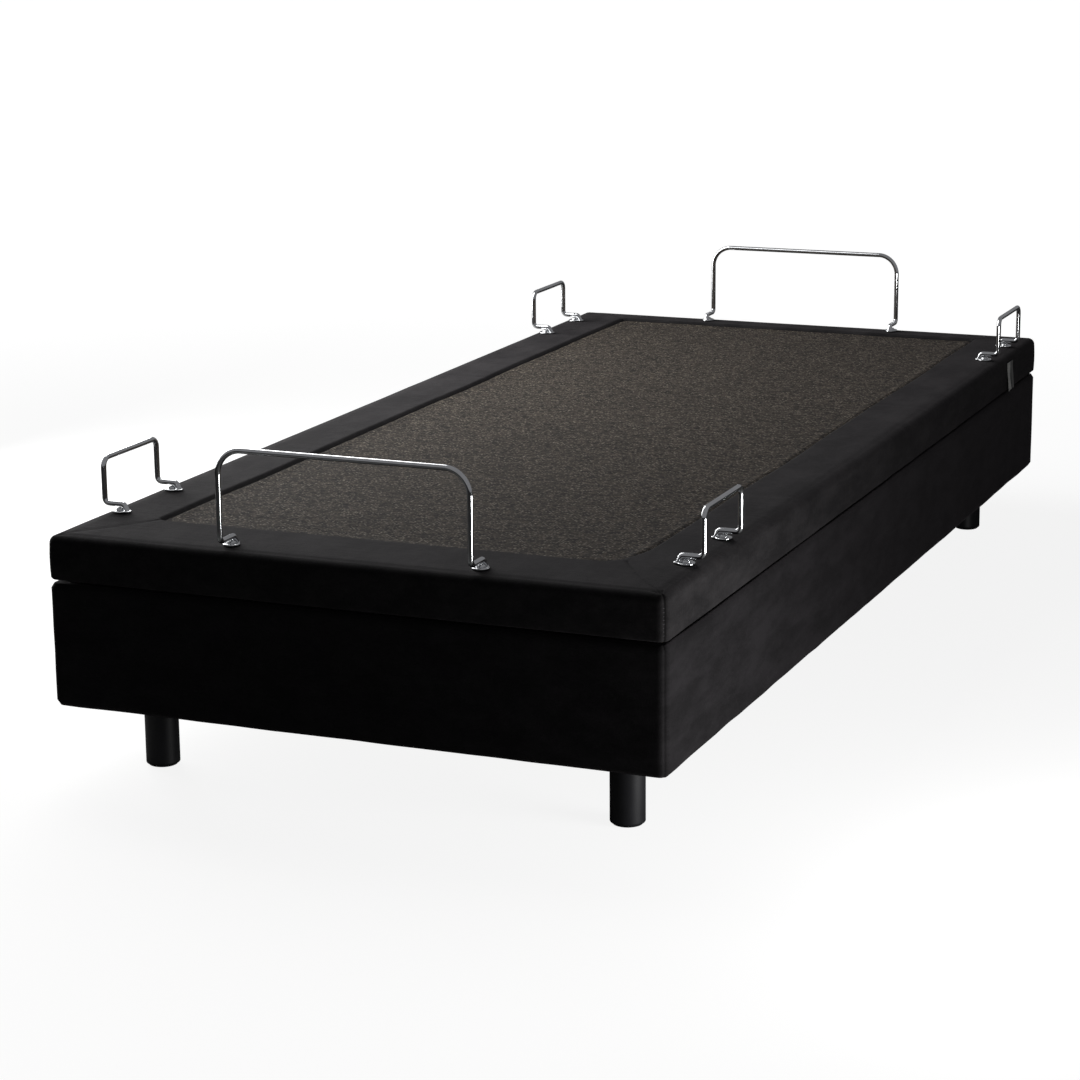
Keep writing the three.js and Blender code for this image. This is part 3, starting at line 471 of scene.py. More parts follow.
def panel_distance(x, y):
    """How far outside the non-slip panel a point is; the right foot corner is drawn in by the sewing."""
    middle = (PANEL_FOOT_Y + PANEL_HEAD_Y) / 2
    half = (PANEL_HEAD_Y - PANEL_FOOT_Y) / 2
    radius = 0.008
    wander = 0.0012 * np.sin(y * 9.0) + 0.0008 * np.sin(x * 23.0 + y * 17.0)
    dx = np.abs(x) - PANEL_HALF_WIDTH + radius + wander
    dy = np.abs(y - middle) - half + radius + wander
    outside = np.hypot(np.maximum(dx, 0), np.maximum(dy, 0))
    distance = outside + np.minimum(np.maximum(dx, dy), 0) - radius
    # the right foot corner is an oval quarter
    aside = np.maximum(x + wander - (PANEL_HALF_WIDTH - OVAL_WIDTH), 1e-9)
    down = np.maximum(PANEL_FOOT_Y + OVAL_LENGTH - y + wander, 1e-9)
    size = np.hypot(aside / OVAL_WIDTH, down / OVAL_LENGTH)
    slope = np.hypot(aside / OVAL_WIDTH**2, down / OVAL_LENGTH**2)
    oval = (size - 1) * size / slope
    in_corner = (aside > 1e-8) & (down > 1e-8)
    return np.where(in_corner, oval, distance)


def mitre_distance(x, y):
    """Distance from the nearest corner seam of the border, which bows slightly towards the sides."""
    nearest = np.full_like(x, 1.0)
    for end, panel_y in ((-1, PANEL_FOOT_Y), (1, PANEL_HEAD_Y)):
        for side in (-1, 1):
            start = np.array([side * (PANEL_HALF_WIDTH - 0.004), panel_y - end * 0.004])
            stop = np.array([side * HALF_WIDTH, end * HALF_LENGTH])
            way = stop - start
            reach = np.linalg.norm(way)
            way = way / reach
            along = (x - start[0]) * way[0] + (y - start[1]) * way[1]
            aside = (x - start[0]) * -way[1] + (y - start[1]) * way[0]
            bow = 0.006 * np.sin(np.clip(along / reach, 0, 1) * math.pi) * side * end
            beyond = np.maximum(0, -along)
            nearest = np.minimum(nearest, np.hypot(aside - bow, beyond))
    return nearest


def away_from_cuts(y):
    """1 along most of the bed and 0 where the cover is cut, so that its lengths meet."""
    return 1 - np.maximum(
        np.exp(-(((y - SEAT_CUT_Y) / 0.02) ** 2)), np.exp(-(((y - THIGH_CUT_Y) / 0.02) ** 2))
    )


def deck_height(points):
    """Height of the cover's upper side: border, lip, panel, creases at the hinges and small folds."""
    x, y = points[:, 0], points[:, 1]
    flat = np.column_stack([x, y, np.zeros_like(x)])
    from_seam = panel_distance(x, y)
    quiet = away_from_cuts(y)
    border = DECK_TOP - 0.0005 * (0.5 + 0.5 * waves(flat, 0.11, 3.1)) * quiet
    border -= 0.0014 * smooth_step(np.abs(x), 0.436, 0.4485) + 0.0014 * smooth_step(np.abs(y), 0.991, 1.003)
    panel = PANEL_TOP + 0.0007 * waves(flat, 0.24, 8.4) * quiet
    panel += 0.00035 * waves(flat, 0.03, 5.7, (0.35, 2.2, 1)) * quiet
    lip = smooth_step(from_seam, -0.0015, 0.0065)
    height = panel + (border - panel) * lip
    height -= SEAM_DEPTH * np.exp(-((from_seam / 0.0028) ** 2))
    height += 0.0009 * np.exp(-(((from_seam + 0.009) / 0.006) ** 2)) * quiet
    # gathered folds where the panel's foot right corner is drawn in
    folds_x, folds_y = 0.345, -0.862
    corner = np.hypot(x - folds_x, y - folds_y)
    fan = np.arctan2(y - folds_y, x - folds_x)
    height += 0.0011 * np.sin(fan * 9.0) * np.exp(-(((corner - 0.05) / 0.045) ** 2)) * (from_seam < 0.004)
    for line, depth in ((HEAD_HINGE_Y, 0.0007), (THIGH_HINGE_Y, 0.0004), (KNEE_HINGE_Y, 0.0005)):
        bent = line + 0.006 * np.sin(x * 11.0 + line * 40.0)
        faded = 0.4 + 0.6 * np.sin(x * 17.0 + line * 30.0) ** 2
        height -= depth * faded * np.exp(-(((y - bent) / 0.008) ** 2))
    height -= SEAM_DEPTH * np.exp(-((mitre_distance(x, y) / 0.0026) ** 2))
    return height


def rim_place(x, y, half_x, half_y, out):
    """Moves a point of the sheet's outline straight out, round the four upright corners."""
    core_x, core_y = HALF_WIDTH - CORNER_ROUND, HALF_LENGTH - CORNER_ROUND
    arc, ease, gather = 0.012, 0.045, 0.25
    from_end, from_side = half_y - np.abs(y), half_x - np.abs(x)
    on_side = from_side < from_end
    run = np.where(on_side, from_end, from_side)
    angle = np.where(run < arc, (1 - run / arc) * math.pi / 4, 0.0)
    angle = np.where(on_side, angle, math.pi / 2 - angle)
    eased = smooth_step(run, arc, ease)
    straight_y = core_y + (np.abs(y) - core_y) * eased - (run - arc) * gather * (1 - eased)
    straight_x = core_x + (np.abs(x) - core_x) * eased - (run - arc) * gather * (1 - eased)
    base_x = np.where(run < arc, core_x, np.where(on_side, core_x, np.minimum(straight_x, core_x)))
    base_y = np.where(run < arc, core_y, np.where(on_side, np.minimum(straight_y, core_y), core_y))
    reach = CORNER_ROUND + out
    return (
        np.sign(x) * (base_x + reach * np.cos(angle)),
        np.sign(y) * (base_y + reach * np.sin(angle)),
        angle,
    )


def platform_cover():
    """The whole cover as one closed shape: a sheet over the top, a rounded rim and a sheet below."""
    across, along = ((176, 400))
    bm = bmesh.new()
    bmesh.ops.create_grid(bm, x_segments=across, y_segments=along, size=1.0)
    bmesh.ops.solidify(bm, geom=bm.faces[:], thickness=1.0)
    low, high = min(v.co.z for v in bm.verts), max(v.co.z for v in bm.verts)
    upright = [e for e in bm.edges if abs(e.verts[0].co.z - e.verts[1].co.z) > 0.5]
    bmesh.ops.subdivide_edges(bm, edges=upright, cuts=RIM_STEPS - 1, use_grid_fill=True)
    flat = points_of(bm)
    level = (high - flat[:, 2]) / (high - low)
    half_x, half_y = HALF_WIDTH - TOP_ROUND, HALF_LENGTH - TOP_ROUND
    seams_x = [-PANEL_HALF_WIDTH, PANEL_HALF_WIDTH, -half_x, half_x]
    seams_y = [PANEL_FOOT_Y, PANEL_HEAD_Y, HEAD_HINGE_Y, -half_y, half_y]
    x = crowded(np.clip(flat[:, 0], -1, 1), half_x, seams_x, 0.011, 2.0)
    y = crowded(np.clip(flat[:, 1], -1, 1), half_y, seams_y, 0.011, 2.0)
    on_rim = (np.abs(flat[:, 0]) > 1 - 1e-6) | (np.abs(flat[:, 1]) > 1 - 1e-6)
    step = np.round(level * RIM_STEPS)
    top_turn = np.clip(step / TOP_STEPS, 0, 1) * math.pi / 2
    under_turn = np.clip((RIM_STEPS - step) / UNDER_STEPS, 0, 1) * math.pi / 2
    middle = np.clip((step - TOP_STEPS) / (RIM_STEPS - TOP_STEPS - UNDER_STEPS), 0, 1)
    out = -TOP_ROUND * (1 - np.sin(top_turn)) - UNDER_ROUND * (1 - np.sin(under_turn))
    out += SIDE_BULGE * np.sin(middle * math.pi)
    points = np.column_stack([x, y, np.zeros_like(x)])
    rim_x, rim_y, angle = rim_place(x, y, half_x, half_y, out)
    points[:, 0] = np.where(on_rim, rim_x, x)
    points[:, 1] = np.where(on_rim, rim_y, y)
    top = deck_height(points)
    edge_top = np.where(level < 1e-6, top, DECK_TOP - EDGE_DIP)
    upper = edge_top - TOP_ROUND * (1 - np.cos(top_turn))
    lower = DECK_UNDER + UNDER_ROUND * (1 - np.cos(under_turn))
    body_top, body_low = DECK_TOP - EDGE_DIP - TOP_ROUND, DECK_UNDER + UNDER_ROUND
    body = body_top + (body_low - body_top) * middle
    rim_z = np.where(step <= TOP_STEPS, upper, np.where(step >= RIM_STEPS - UNDER_STEPS, lower, body))
    points[:, 2] = np.where(level < 1e-6, top, np.where(level > 1 - 1e-6, DECK_UNDER, rim_z))
    # soft waves of the fabric and the upright corner seams
    sides = on_rim & (level > 1e-6) & (level < 1 - 1e-6)
    swell = np.where(sides, 0.0007 * waves(points, 0.09, 1.9), 0)
    quiet = away_from_cuts(points[:, 1])
    seam = np.where(sides, np.exp(-(((angle - math.pi / 4) / 0.16) ** 2)), 0)
    inward = swell * quiet - SEAM_DEPTH * seam
    points[:, 0] += np.sign(points[:, 0]) * np.cos(angle) * inward
    points[:, 1] += np.sign(points[:, 1]) * np.sin(angle) * inward
    move_points(bm, points)
    bmesh.ops.recalc_face_normals(bm, faces=bm.faces[:])
    return bm


def sewn_distances(piece):
    """Stores how far each point lies from the panel's seam and from the corner seams."""
    count = len(piece.data.vertices)
    points = np.zeros(count * 3)
    piece.data.vertices.foreach_get("co", points)
    points = points.reshape(-1, 3)
    x, y = points[:, 0], points[:, 1]
    from_seam = np.where(points[:, 2] > UPPER_SIDE_FROM, panel_distance(x, y), FAR_FROM_SEAM)
    for name, values in (("from_panel_seam", from_seam), ("from_mitre", mitre_distance(x, y))):
        attribute = piece.data.attributes.new(name, "FLOAT", "POINT")
        attribute.data.foreach_set("value", values)


def cut_length(bm, start, end):
    """Keeps the part of the cover between two places along the bed and closes its cut ends."""
    part = bm.copy()
    for place, keep in ((start, 1), (end, -1)):
        if place is None:
            continue
        bmesh.ops.bisect_plane(
            part,
            geom=part.verts[:] + part.edges[:] + part.faces[:],
            plane_co=(0, place, 0),
            plane_no=(0, -keep, 0),
            clear_outer=True,
        )
        rim = [e for e in part.edges if e.is_boundary]
        bmesh.ops.contextual_create(part, geom=rim)
    bmesh.ops.triangulate(part, faces=[f for f in part.faces if len(f.verts) > 4])
    return part


def dress_platform():
    whole = platform_cover()
    lengths = (
        ("platform_cover_head", SEAT_CUT_Y, None, ("head_pad", "seat_pad")),
        ("platform_cover_seat_and_thigh", THIGH_CUT_Y, SEAT_CUT_Y, ("thigh_pad",)),
        ("platform_cover_foot", None, THIGH_CUT_Y, ("foot_pad",)),
    )
    covers = []
    for name, start, end, pads in lengths:
        cover = add_piece(name, cut_length(whole, start, end), COVER, sharp=70)
        sewn_distances(cover)
        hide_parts(*pads)
        covers.append(cover)
    whole.free()
    head, middle, foot = covers
    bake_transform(head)
    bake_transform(middle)
    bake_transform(foot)


dress_platform()

# ------------------------------------------------------------------ surround

SURROUND_CORNER = 0.013
SURROUND_EDGE = 0.0045


def surround_outline(share):
    """A point, its outward direction and how near it is to a corner seam, along the base's outline."""
    core_x, core_y, radius = HALF_WIDTH - SURROUND_CORNER, HALF_LENGTH - SURROUND_CORNER, SURROUND_CORNER
    arc = radius * math.pi / 2
    runs = [core_x, arc, 2 * core_y, arc, 2 * core_x, arc, 2 * core_y, arc, core_x]
    starts = np.concatenate([[0], np.cumsum(runs)])
    # more of the fabric's squares go to the four corners
    weights = np.array([1, 9, 1, 9, 1, 9, 1, 9, 1]) * np.array(runs)
    marks = np.concatenate([[0], np.cumsum(weights)]) / weights.sum()
    run = np.interp(share, marks, starts)
    leg = np.clip(np.searchsorted(starts, run, side="right") - 1, 0, 8)
    into = run - starts[leg]
    turn = math.pi / 2 - np.array([0, 0, 1, 1, 2, 2, 3, 3, 4])[leg] * math.pi / 2
    turn = np.where(leg % 2 == 1, turn - into / radius, turn)
    base_x = np.select(
        [leg == 0, leg <= 3, leg == 4, leg <= 7, leg == 8],
        [into, np.full_like(run, core_x), core_x - into, np.full_like(run, -core_x), into - core_x],
    )
    base_y = np.select(
        [leg <= 1, leg == 2, (leg >= 3) & (leg <= 5), leg == 6, leg >= 7],
        [
            np.full_like(run, core_y),
            core_y - into,
            np.full_like(run, -core_y),
            into - core_y,
            np.full_like(run, core_y),
        ],
    )
    near = np.where(leg % 2 == 1, into - arc / 2, 1.0)
    return base_x, base_y, np.cos(turn), np.sin(turn), near


def dress_surround():
    """One band of velour round the base, turned over its boards' top and bottom edges."""
    across, along = ((900, 26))
    bm = bmesh.new()
    bmesh.ops.create_grid(bm, x_segments=across, y_segments=along, size=1.0)
    bmesh.ops.solidify(bm, geom=bm.faces[:], thickness=1.0)
    deep = min(v.co.z for v in bm.verts)
    rim = [e for e in bm.edges if abs(e.verts[0].co.z - e.verts[1].co.z) > 0.5]
    bmesh.ops.subdivide_edges(bm, edges=rim, cuts=5, use_grid_fill=True)
    flat = points_of(bm)
    inside = flat[:, 2] / deep if deep < -0.5 else 1 - flat[:, 2] / max(v.co.z for v in bm.verts)
    share = np.clip((flat[:, 0] + 1) / 2, 0, 1)
    rise = (np.clip(flat[:, 1], -1, 1) + 1) / 2
    base_x, base_y, out_x, out_y, near = surround_outline(share)
    # the band's section is a rounded strip: squares near its edges follow the turn
    low, high = SURROUND_BOTTOM, SURROUND_TOP
    z = low + (high - low) * rise
    to_edge = np.minimum(z - low, high - z)
    edge_turn = np.clip(1 - to_edge / SURROUND_EDGE, 0, 1)
    drop = SURROUND_EDGE * (1 - np.sqrt(np.maximum(0, 1 - edge_turn**2)))
    across_wall = inside * SURROUND_WALL
    depth = np.where(
        inside < 0.5, np.maximum(across_wall, drop), np.minimum(across_wall, SURROUND_WALL - drop)
    )
    face = inside < 1e-6
    points = np.column_stack([base_x + out_x * SURROUND_CORNER, base_y + out_y * SURROUND_CORNER, z])
    swell = 0.0008 * waves(points, 0.16, 6.3) + 0.0004 * waves(points, 0.045, 2.2)
    swell += 0.0006 * waves(points, 0.05, 9.9, (1, 1, 0.25)) * np.exp(-(((z - low) / 0.03) ** 2))
    swell -= 0.0010 * np.exp(-((near / 0.0022) ** 2))
    pushed = np.where(face | (inside < 0.2), swell, 0)
    reach = SURROUND_CORNER - depth + pushed
    x, y = base_x + out_x * reach, base_y + out_y * reach
    inner = inside > 0.35
    x = np.where(inner, np.clip(points[:, 0], -HALF_WIDTH + depth, HALF_WIDTH - depth), x)
    y = np.where(inner, np.clip(points[:, 1], -HALF_LENGTH + depth, HALF_LENGTH - depth), y)
    hem = 0.0007 * waves(points, 0.07, 4.4) * np.exp(-(((z - low) / 0.02) ** 2))
    crest = -0.0011 * (1 + np.clip(waves(points, 0.11, 3.1), -1, 1)) * np.exp(-(((high - z) / 0.012) ** 2))
    points = np.column_stack([x, y, z + np.maximum(hem, -0.0004) + crest])
    move_points(bm, points)
    bmesh.ops.remove_doubles(bm, verts=bm.verts[:], dist=1e-5)
    bmesh.ops.recalc_face_normals(bm, faces=bm.faces[:])
    cover = add_piece("surround_cover", bm, SURROUND, sharp=60)
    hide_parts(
        "surround_foot_panel", "surround_head_panel", "surround_left_panel", "surround_right_panel"
    )
    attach(cover, "root")


dress_surround()

# ------------------------------------------------------------------ turned pieces


def turned(profile, centre, steps=48):
    """A shape turned on a lathe from its profile of (radius, height) points, in millimetres."""
    bm = bmesh.new()
    line = [bm.verts.new((r * MM, 0, h * MM)) for r, h in profile]
    for start, end in zip(line, line[1:]):
        bm.edges.new((start, end))
    bmesh.ops.spin(
        bm, geom=bm.verts[:] + bm.edges[:], cent=(0, 0, 0), axis=(0, 0, 1), dvec=(0, 0, 0), angle=2 * math.pi,
        steps=steps, use_merge=True,
    )
    bmesh.ops.remove_doubles(bm, verts=bm.verts[:], dist=1e-6)
    bmesh.ops.recalc_face_normals(bm, faces=bm.faces[:])
    bmesh.ops.translate(bm, verts=bm.verts[:], vec=centre)
    return bm


LEG_PROFILE = [
    (0, 3.0), (23.0, 3.0), (23.9, 3.4), (24.5, 4.6), (24.5, 6.5), (24.5, 60), (24.5, 110), (24.5, 229.4),
    (25.5, 230.4), (31.4, 230.4), (32.0, 231.0), (32.0, 234.8), (31.4, 235.4), (0, 235.4),
]
GLIDE_PROFILE = [(0, 0), (19.4, 0), (20.6, 0.5), (21.2, 1.4), (21.2, 3.0), (0, 3.0)]


def stand_legs():
    for name in ("leg_foot_left", "leg_foot_right", "leg_head_left", "leg_head_right"):
        low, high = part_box(name)
        centre = ((low.x + high.x) / 2, (low.y + high.y) / 2, 0)
        post = add_piece(name + "_post", turned(LEG_PROFILE, centre), LEG_PAINT)
        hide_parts(name)
        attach(post, "root")
        glide = add_piece(name + "_glide", turned(GLIDE_PROFILE, centre), GLIDE)
        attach(glide, "root")


stand_legs()

# ------------------------------------------------------------------ wire retainers

WIRE_RADIUS = 4.0
FOOT_WIDENING = 1.6
RETAINER_FOOT = 12.0
EYE_RADIUS = 12.0
EYE_THICKNESS = 3.0
# height, radius of the top bends and run out to the deck's edge
WIDE_RETAINER = (141, 36, 31.5)
SMALL_RETAINER = (77, 13, 24.5)


def rounded_path(corners, radii, step=2.2):
    """A line through corner points (mm) with each corner rounded to its radius."""
    corners = [np.array(c, float) for c in corners]
    path = [corners[0]]
    for before, corner, after, radius in zip(corners, corners[1:], corners[2:], radii):
        arrive, leave = corner - before, after - corner
        arrive, leave = arrive / np.linalg.norm(arrive), leave / np.linalg.norm(leave)
        bend = math.acos(np.clip(arrive @ leave, -1, 1))
        reach = radius * math.tan(bend / 2)
        start, end = corner - arrive * reach, corner + leave * reach
        centre_way = (leave - arrive) / np.linalg.norm(leave - arrive)
        centre = corner + centre_way * radius / math.cos(bend / 2)
        turns = max(4, int(radius * bend / step) + 3)
        for share in np.linspace(0, 1, turns):
            spoke = (start - centre) * math.sin((1 - share) * bend) + (end - centre) * math.sin(share * bend)
            path.append(centre + spoke / math.sin(bend))
    path.append(corners[-1])
    filled = [path[0]]
    for start, end in zip(path, path[1:]):
        parts = max(1, int(np.linalg.norm(end - start) / 9))
        filled += [start + (end - start) * k / parts for k in range(1, parts + 1)]
    return np.array(filled)


def flattened(path, half_wide, half_thick, square, first_wide=(1, 0, 0)):
    """A closed tube along a path (mm) whose section goes from round to flat with rounded edges."""
    count = len(path)
    ahead = np.gradient(path, axis=0)
    ahead /= np.linalg.norm(ahead, axis=1)[:, None]
    wide = np.zeros_like(path)
    wide[0] = first_wide
    for k in range(1, count):
        turned_on = wide[k - 1] - ahead[k] * (wide[k - 1] @ ahead[k])
        wide[k] = turned_on / np.linalg.norm(turned_on)
    thick = np.cross(ahead, wide)

    def place(u, v):
        station = np.clip(np.round(v * (count - 1)).astype(int), 0, count - 1)
        turn = u * 2 * math.pi
        c, s = np.cos(turn), np.sin(turn)
        a = np.sign(c) * np.abs(c) ** square[station] * half_wide[station]
        b = np.sign(s) * np.abs(s) ** square[station] * half_thick[station]
        return (path[station] + wide[station] * a[:, None] + thick[station] * b[:, None]) * MM

    return wrapped_sheet(18, count - 1, place, merge=2e-5)


def bent_wire(span, rise, top_bend, edge_run):
    """A retainer's wire in millimetres: x along it, y outwards from its screws, z up from the deck.

    Each end runs in over its screw, drops to the deck and lies back under itself as a flat eye."""
    low = 0.3 + EYE_THICKNESS / 2
    half = span / 2
    tip, drop = -EYE_RADIUS - 3.5, -6.5
    lead = tip + 2.5
    corners = [(-half, tip, low), (-half, lead, low), (-half, drop, RETAINER_FOOT)]
    corners += [(-half, edge_run, RETAINER_FOOT), (-half, edge_run, rise), (half, edge_run, rise)]
    corners += [(half, edge_run, RETAINER_FOOT), (half, drop, RETAINER_FOOT)]
    corners += [(half, lead, low), (half, tip, low)]
    path = rounded_path(corners, [2, 6, 7, top_bend, top_bend, 7, 6, 2], step=1.4)
    path = path[np.concatenate([[True], np.linalg.norm(np.diff(path, axis=0), axis=1) > 0.05])]
    flatness = 1 - smooth_step(path[:, 2], low + 0.5, RETAINER_FOOT - 1)
    half_wide = WIRE_RADIUS + FOOT_WIDENING * flatness
    half_thick = WIRE_RADIUS - (WIRE_RADIUS - EYE_THICKNESS / 2) * flatness
    half_wide[[0, -1]] = 0
    half_thick[[0, -1]] = 0
    wire = flattened(path, half_wide, half_thick, 1 - 0.4 * flatness)
    for side in (-half, half):
        outward = np.concatenate([[tip - 2.2], np.linspace(tip - 2, EYE_RADIUS, 34)])
        disc = np.sqrt(np.maximum(0, EYE_RADIUS**2 - outward**2))
        tab = np.sqrt(np.maximum(0, 6.2**2 - np.maximum(0, tip + 4 - outward) ** 2))
        eye_wide = np.where(outward < -EYE_RADIUS * 0.5, np.maximum(disc, tab), disc)
        eye_thick = np.full_like(eye_wide, EYE_THICKNESS / 2)
        eye_wide[[0, -1]] = 0
        eye_thick[[0, -1]] = 0
        line = np.column_stack([np.full_like(outward, side), outward, np.full_like(outward, low)])
        eye = flattened(line, eye_wide, eye_thick, np.full_like(outward, 0.45))
        lump = bpy.data.meshes.new("eye")
        eye.to_mesh(lump)
        eye.free()
        wire.from_mesh(lump)
        bpy.data.meshes.remove(lump)
    return wire


SCREW_PROFILE = [
    (0, -55), (2.6, -53), (3.0, -50), (3.0, 3.3), (6.3, 3.3), (6.5, 3.7), (6.3, 4.6), (5.6, 5.7), (4.2, 6.6),
    (2.4, 7.1), (0, 7.3),
]
DOME_FROM = 0.0045
RECESS_HALF_WIDTH = 0.00075
RECESS_REACH = 0.0040
RECESS_DEPTH = 0.0016


def cross_recess(bm):
    """Presses a cross recess into a screw's dome."""
    for vertex in bm.verts:
        reach = math.hypot(vertex.co.x, vertex.co.y)
        in_arm = min(abs(vertex.co.x), abs(vertex.co.y)) < RECESS_HALF_WIDTH and reach < RECESS_REACH
        if vertex.co.z > DOME_FROM and in_arm:
            vertex.co.z -= RECESS_DEPTH


def screw_at(name, centre, body, turn):
    bm = turned(SCREW_PROFILE, (0, 0, 0), steps=32)
    cap = [f for f in bm.faces if f.calc_center_median().z > DOME_FROM]
    bmesh.ops.subdivide_edges(bm, edges=list({e for f in cap for e in f.edges}), cuts=1, use_grid_fill=True)
    cross_recess(bm)
    bmesh.ops.rotate(bm, verts=bm.verts[:], cent=(0, 0, 0), matrix=Matrix.Rotation(turn, 3, "Z"))
    bmesh.ops.translate(bm, verts=bm.verts[:], vec=centre)
    piece = add_piece(name + "_pan_head", bm, CHROME, sharp=50)
    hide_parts(name)
    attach(piece, body)


def fit_retainer(name, screws, body, facing, wide):
    """Builds one retainer and its two screws; facing turns its outward side to its edge of the deck."""
    ends = [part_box(s) for s in screws]
    centres = [Vector(((a.x + b.x) / 2, (a.y + b.y) / 2, DECK_TOP)) for a, b in ends]
    middle = (centres[0] + centres[1]) / 2
    span = (centres[0] - centres[1]).length / MM
    wire = bent_wire(span, *(WIDE_RETAINER if wide else SMALL_RETAINER))
    bmesh.ops.rotate(wire, verts=wire.verts[:], cent=(0, 0, 0), matrix=Matrix.Rotation(facing, 3, "Z"))
    bmesh.ops.translate(wire, verts=wire.verts[:], vec=middle)
    piece = add_piece(name + "_wire", wire, CHROME, sharp=60)
    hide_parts(name)
    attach(piece, body)
    for number, (screw, centre) in enumerate(zip(screws, centres)):
        screw_at(screw, centre, body, 0.4 + 0.9 * number + facing)


RETAINERS = (
    ("foot_retainer", "foot", math.pi, True),
    ("head_retainer", "head", 0.0, True),
    ("foot_left_retainer", "foot_left", math.pi / 2, False),
    ("foot_right_retainer", "foot_right", -math.pi / 2, False),
    ("head_left_retainer", "head_left", math.pi / 2, False),
    ("head_right_retainer", "head_right", -math.pi / 2, False),
)
for retainer, stem, facing, wide in RETAINERS:
    section = "foot_section" if stem.startswith("foot") else "head_section"
    fit_retainer(retainer, (stem + "_screw_1", stem + "_screw_2"), section, facing, wide)

# ------------------------------------------------------------------ care tag


def hang_care_tag():
    """A small blank ribbon tag sewn in below the deck's right-hand edge."""
    def place(u, v):
        y = TAG_FOOT_Y + (TAG_HEAD_Y - TAG_FOOT_Y) * u
        z = TAG_TOP + (TAG_LOW - TAG_TOP) * v
        lift = 0.0008 + 0.0035 * v**2 + 0.0009 * np.sin(u * 6 + v * 3) * smooth_step(v, 0.1, 0.6)
        x = HALF_WIDTH + 0.0010 + lift
        curled_y = y + 0.004 * v**2 * (0.5 - u)
        slanted_z = z - 0.003 * (1 - u) * v
        return np.column_stack([x, curled_y, slanted_z])

    bm = wrapped_sheet(16, 16, place)
    bmesh.ops.solidify(bm, geom=bm.faces[:], thickness=0.0005)
    tag = add_piece("care_tag", bm, RIBBON)
    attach(tag, "head_section")


hang_care_tag()


STITCH_PITCH = 0.0052
STITCH_HALF_LENGTH = 0.0017
STITCH_HALF_THICK = 0.00045
STITCH_SUNK = 0.0002
STITCH_TURN = 0.17  # radians round the corner from its seam
STITCH_SLANT = 0.25
STITCHES_ABOVE_UNDER = 0.009
STITCHES_BELOW_TOP = 0.016


def stitch_corner(name, side, end, section):
    """Topstitches of bonded thread across the end face's edge of an upright corner seam."""
    bm = bmesh.new()
    centre = Vector((side * (HALF_WIDTH - CORNER_ROUND), end * (HALF_LENGTH - CORNER_ROUND), 0))
    low, high = DECK_UNDER + STITCHES_ABOVE_UNDER, DECK_TOP - STITCHES_BELOW_TOP
    for k in range(int((high - low) / STITCH_PITCH) + 1):
        height = low + k * STITCH_PITCH
        bulge = SIDE_BULGE * math.sin((height - low) / (high - low) * math.pi)
        angle = math.pi / 4 + STITCH_TURN
        outward = Vector((side * math.cos(angle), end * math.sin(angle), 0))
        place = centre + outward * (CORNER_ROUND + bulge - STITCH_SUNK) + Vector((0, 0, height))
        along = Vector((-outward.y, outward.x, STITCH_SLANT * side)).normalized()
        turn = Vector((1, 0, 0)).rotation_difference(along).to_matrix().to_4x4()
        size = Matrix.Diagonal((STITCH_HALF_LENGTH, STITCH_HALF_THICK, STITCH_HALF_THICK, 1))
        shape = Matrix.Translation(place) @ turn @ size
        bmesh.ops.create_uvsphere(bm, u_segments=8, v_segments=6, radius=1, matrix=shape)
    stitches = add_piece(name + "_corner_stitches", bm, THREAD)
    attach(stitches, section)


stitch_corner("foot_left", -1, -1, "foot_section")
stitch_corner("foot_right", 1, -1, "foot_section")
stitch_corner("head_left", -1, 1, "head_section")
stitch_corner("head_right", 1, 1, "head_section")

# ------------------------------------------------------------------ finishes of the mechanism

FINISH_OF = (
    ("board", PLYWOOD),
    ("rail", FRAME_PAINT),
    ("leaf", ZINC),
    ("shaft", FRAME_PAINT),
    ("roller", NYLON),
    ("housing", MOULDED),
    ("rod", ZINC),
    ("calf_link", FRAME_PAINT),
    ("calf_bracket", FRAME_PAINT),
    ("control_box", MOULDED),
)


def finish_frame_nodes():
    for name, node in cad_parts.items():
        if node.hide_render:
            continue
        material = next(m for word, m in FINISH_OF if word in name)
        node.data.materials.clear()
        node.data.materials.append(material)
        node.data.polygons.foreach_set("use_smooth", [True] * len(node.data.polygons))
        weld = node.modifiers.new("joined corners", "WELD")
        weld.merge_threshold = 0.00001
        split = node.modifiers.new("crisp edges", "EDGE_SPLIT")
        split.split_angle = math.radians(32)


finish_frame_nodes()

# ------------------------------------------------------------------ studio


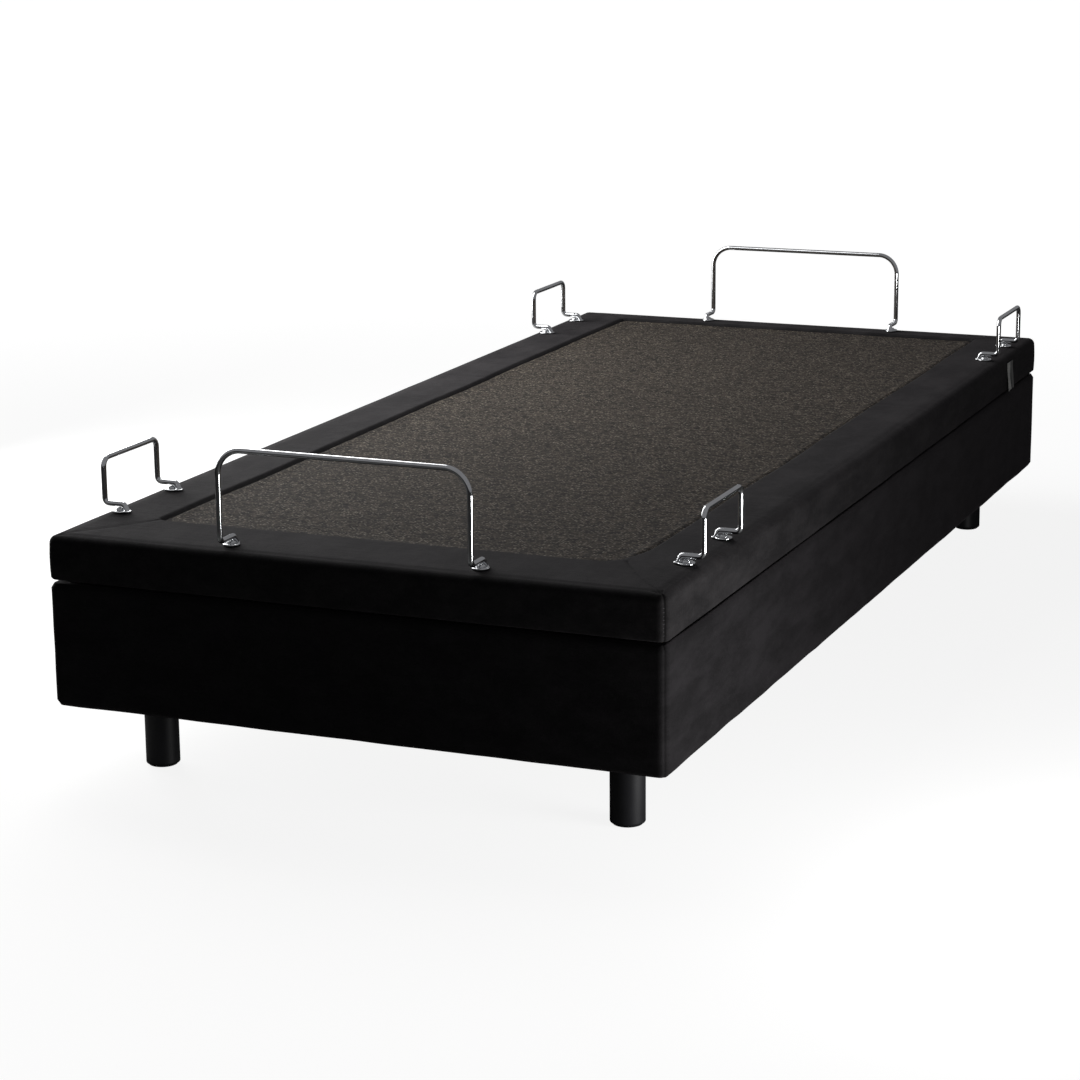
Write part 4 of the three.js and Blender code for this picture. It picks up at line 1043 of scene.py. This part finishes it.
def studio():
    bm = bmesh.new()
    bmesh.ops.create_circle(bm, cap_ends=True, segments=64, radius=30)
    material, tree, surface, place = finish_named("pale_studio_floor", Roughness=0.9)
    surface.inputs["Specular IOR Level"].default_value = 0.1
    cloud = add(tree, "ShaderNodeTexNoise", {"Vector": place, "Scale": 0.8, "Detail": 2.0}).outputs["Fac"]
    tree.links.new(mixed(tree, cloud, "#8a8a89", "#8e8e8d"), surface.inputs["Base Color"])
    away = add(tree, "ShaderNodeVectorMath", {0: place}, operation="LENGTH").outputs["Value"]
    pale = add(
        tree,
        "ShaderNodeMapRange",
        {"Value": away, "From Min": 1.2, "From Max": 3.4, "To Min": 0.88, "To Max": 1.0},
    ).outputs[0]
    seen = add(tree, "ShaderNodeLightPath").outputs["Is Camera Ray"]
    glow = add(tree, "ShaderNodeMath", {0: seen, 1: pale}, operation="MULTIPLY").outputs[0]
    surface.inputs["Emission Color"].default_value = (1, 1, 1, 1)
    tree.links.new(glow, surface.inputs["Emission Strength"])
    floor = add_piece("floor", bm, material, smooth=False)

    world = bpy.data.worlds.new("studio")
    bpy.context.scene.world = world
    world.use_nodes = True
    sky = world.node_tree
    background = sky.nodes["Background"]
    rays = add(sky, "ShaderNodeLightPath").outputs
    # bright metal mirrors a pale room
    room = mixed(sky, rays["Is Glossy Ray"], "#232324", "#7a7a7c")
    sky.links.new(mixed(sky, rays["Is Camera Ray"], room, "#ffffff"), background.inputs["Color"])
    background.inputs["Strength"].default_value = 1.0

    def softbox(name, place, aim, width, height, power):
        light = bpy.data.objects.new(name, bpy.data.lights.new(name, "AREA"))
        light.data.shape = "RECTANGLE"
        light.data.size, light.data.size_y = width, height
        light.data.energy = power
        light.visible_camera = False
        light.location = place
        light.rotation_euler = (Vector(aim) - Vector(place)).to_track_quat("-Z", "Y").to_euler()
        bpy.context.scene.collection.objects.link(light)

    softbox("left_towards_head", (-1.25, 0.5, 0.95), (-0.3, 0.45, 0.36), 0.6, 1.8, 21)
    softbox("left_above", (-1.2, -0.15, 1.25), (-0.2, -0.15, 0.36), 0.7, 2.4, 15)
    softbox("right_near_foot", (1.25, -0.98, 0.17), (0.46, -0.88, 0.21), 0.5, 0.2, 7.0)
    bpy.context.scene.view_settings.view_transform = "Standard"


studio()
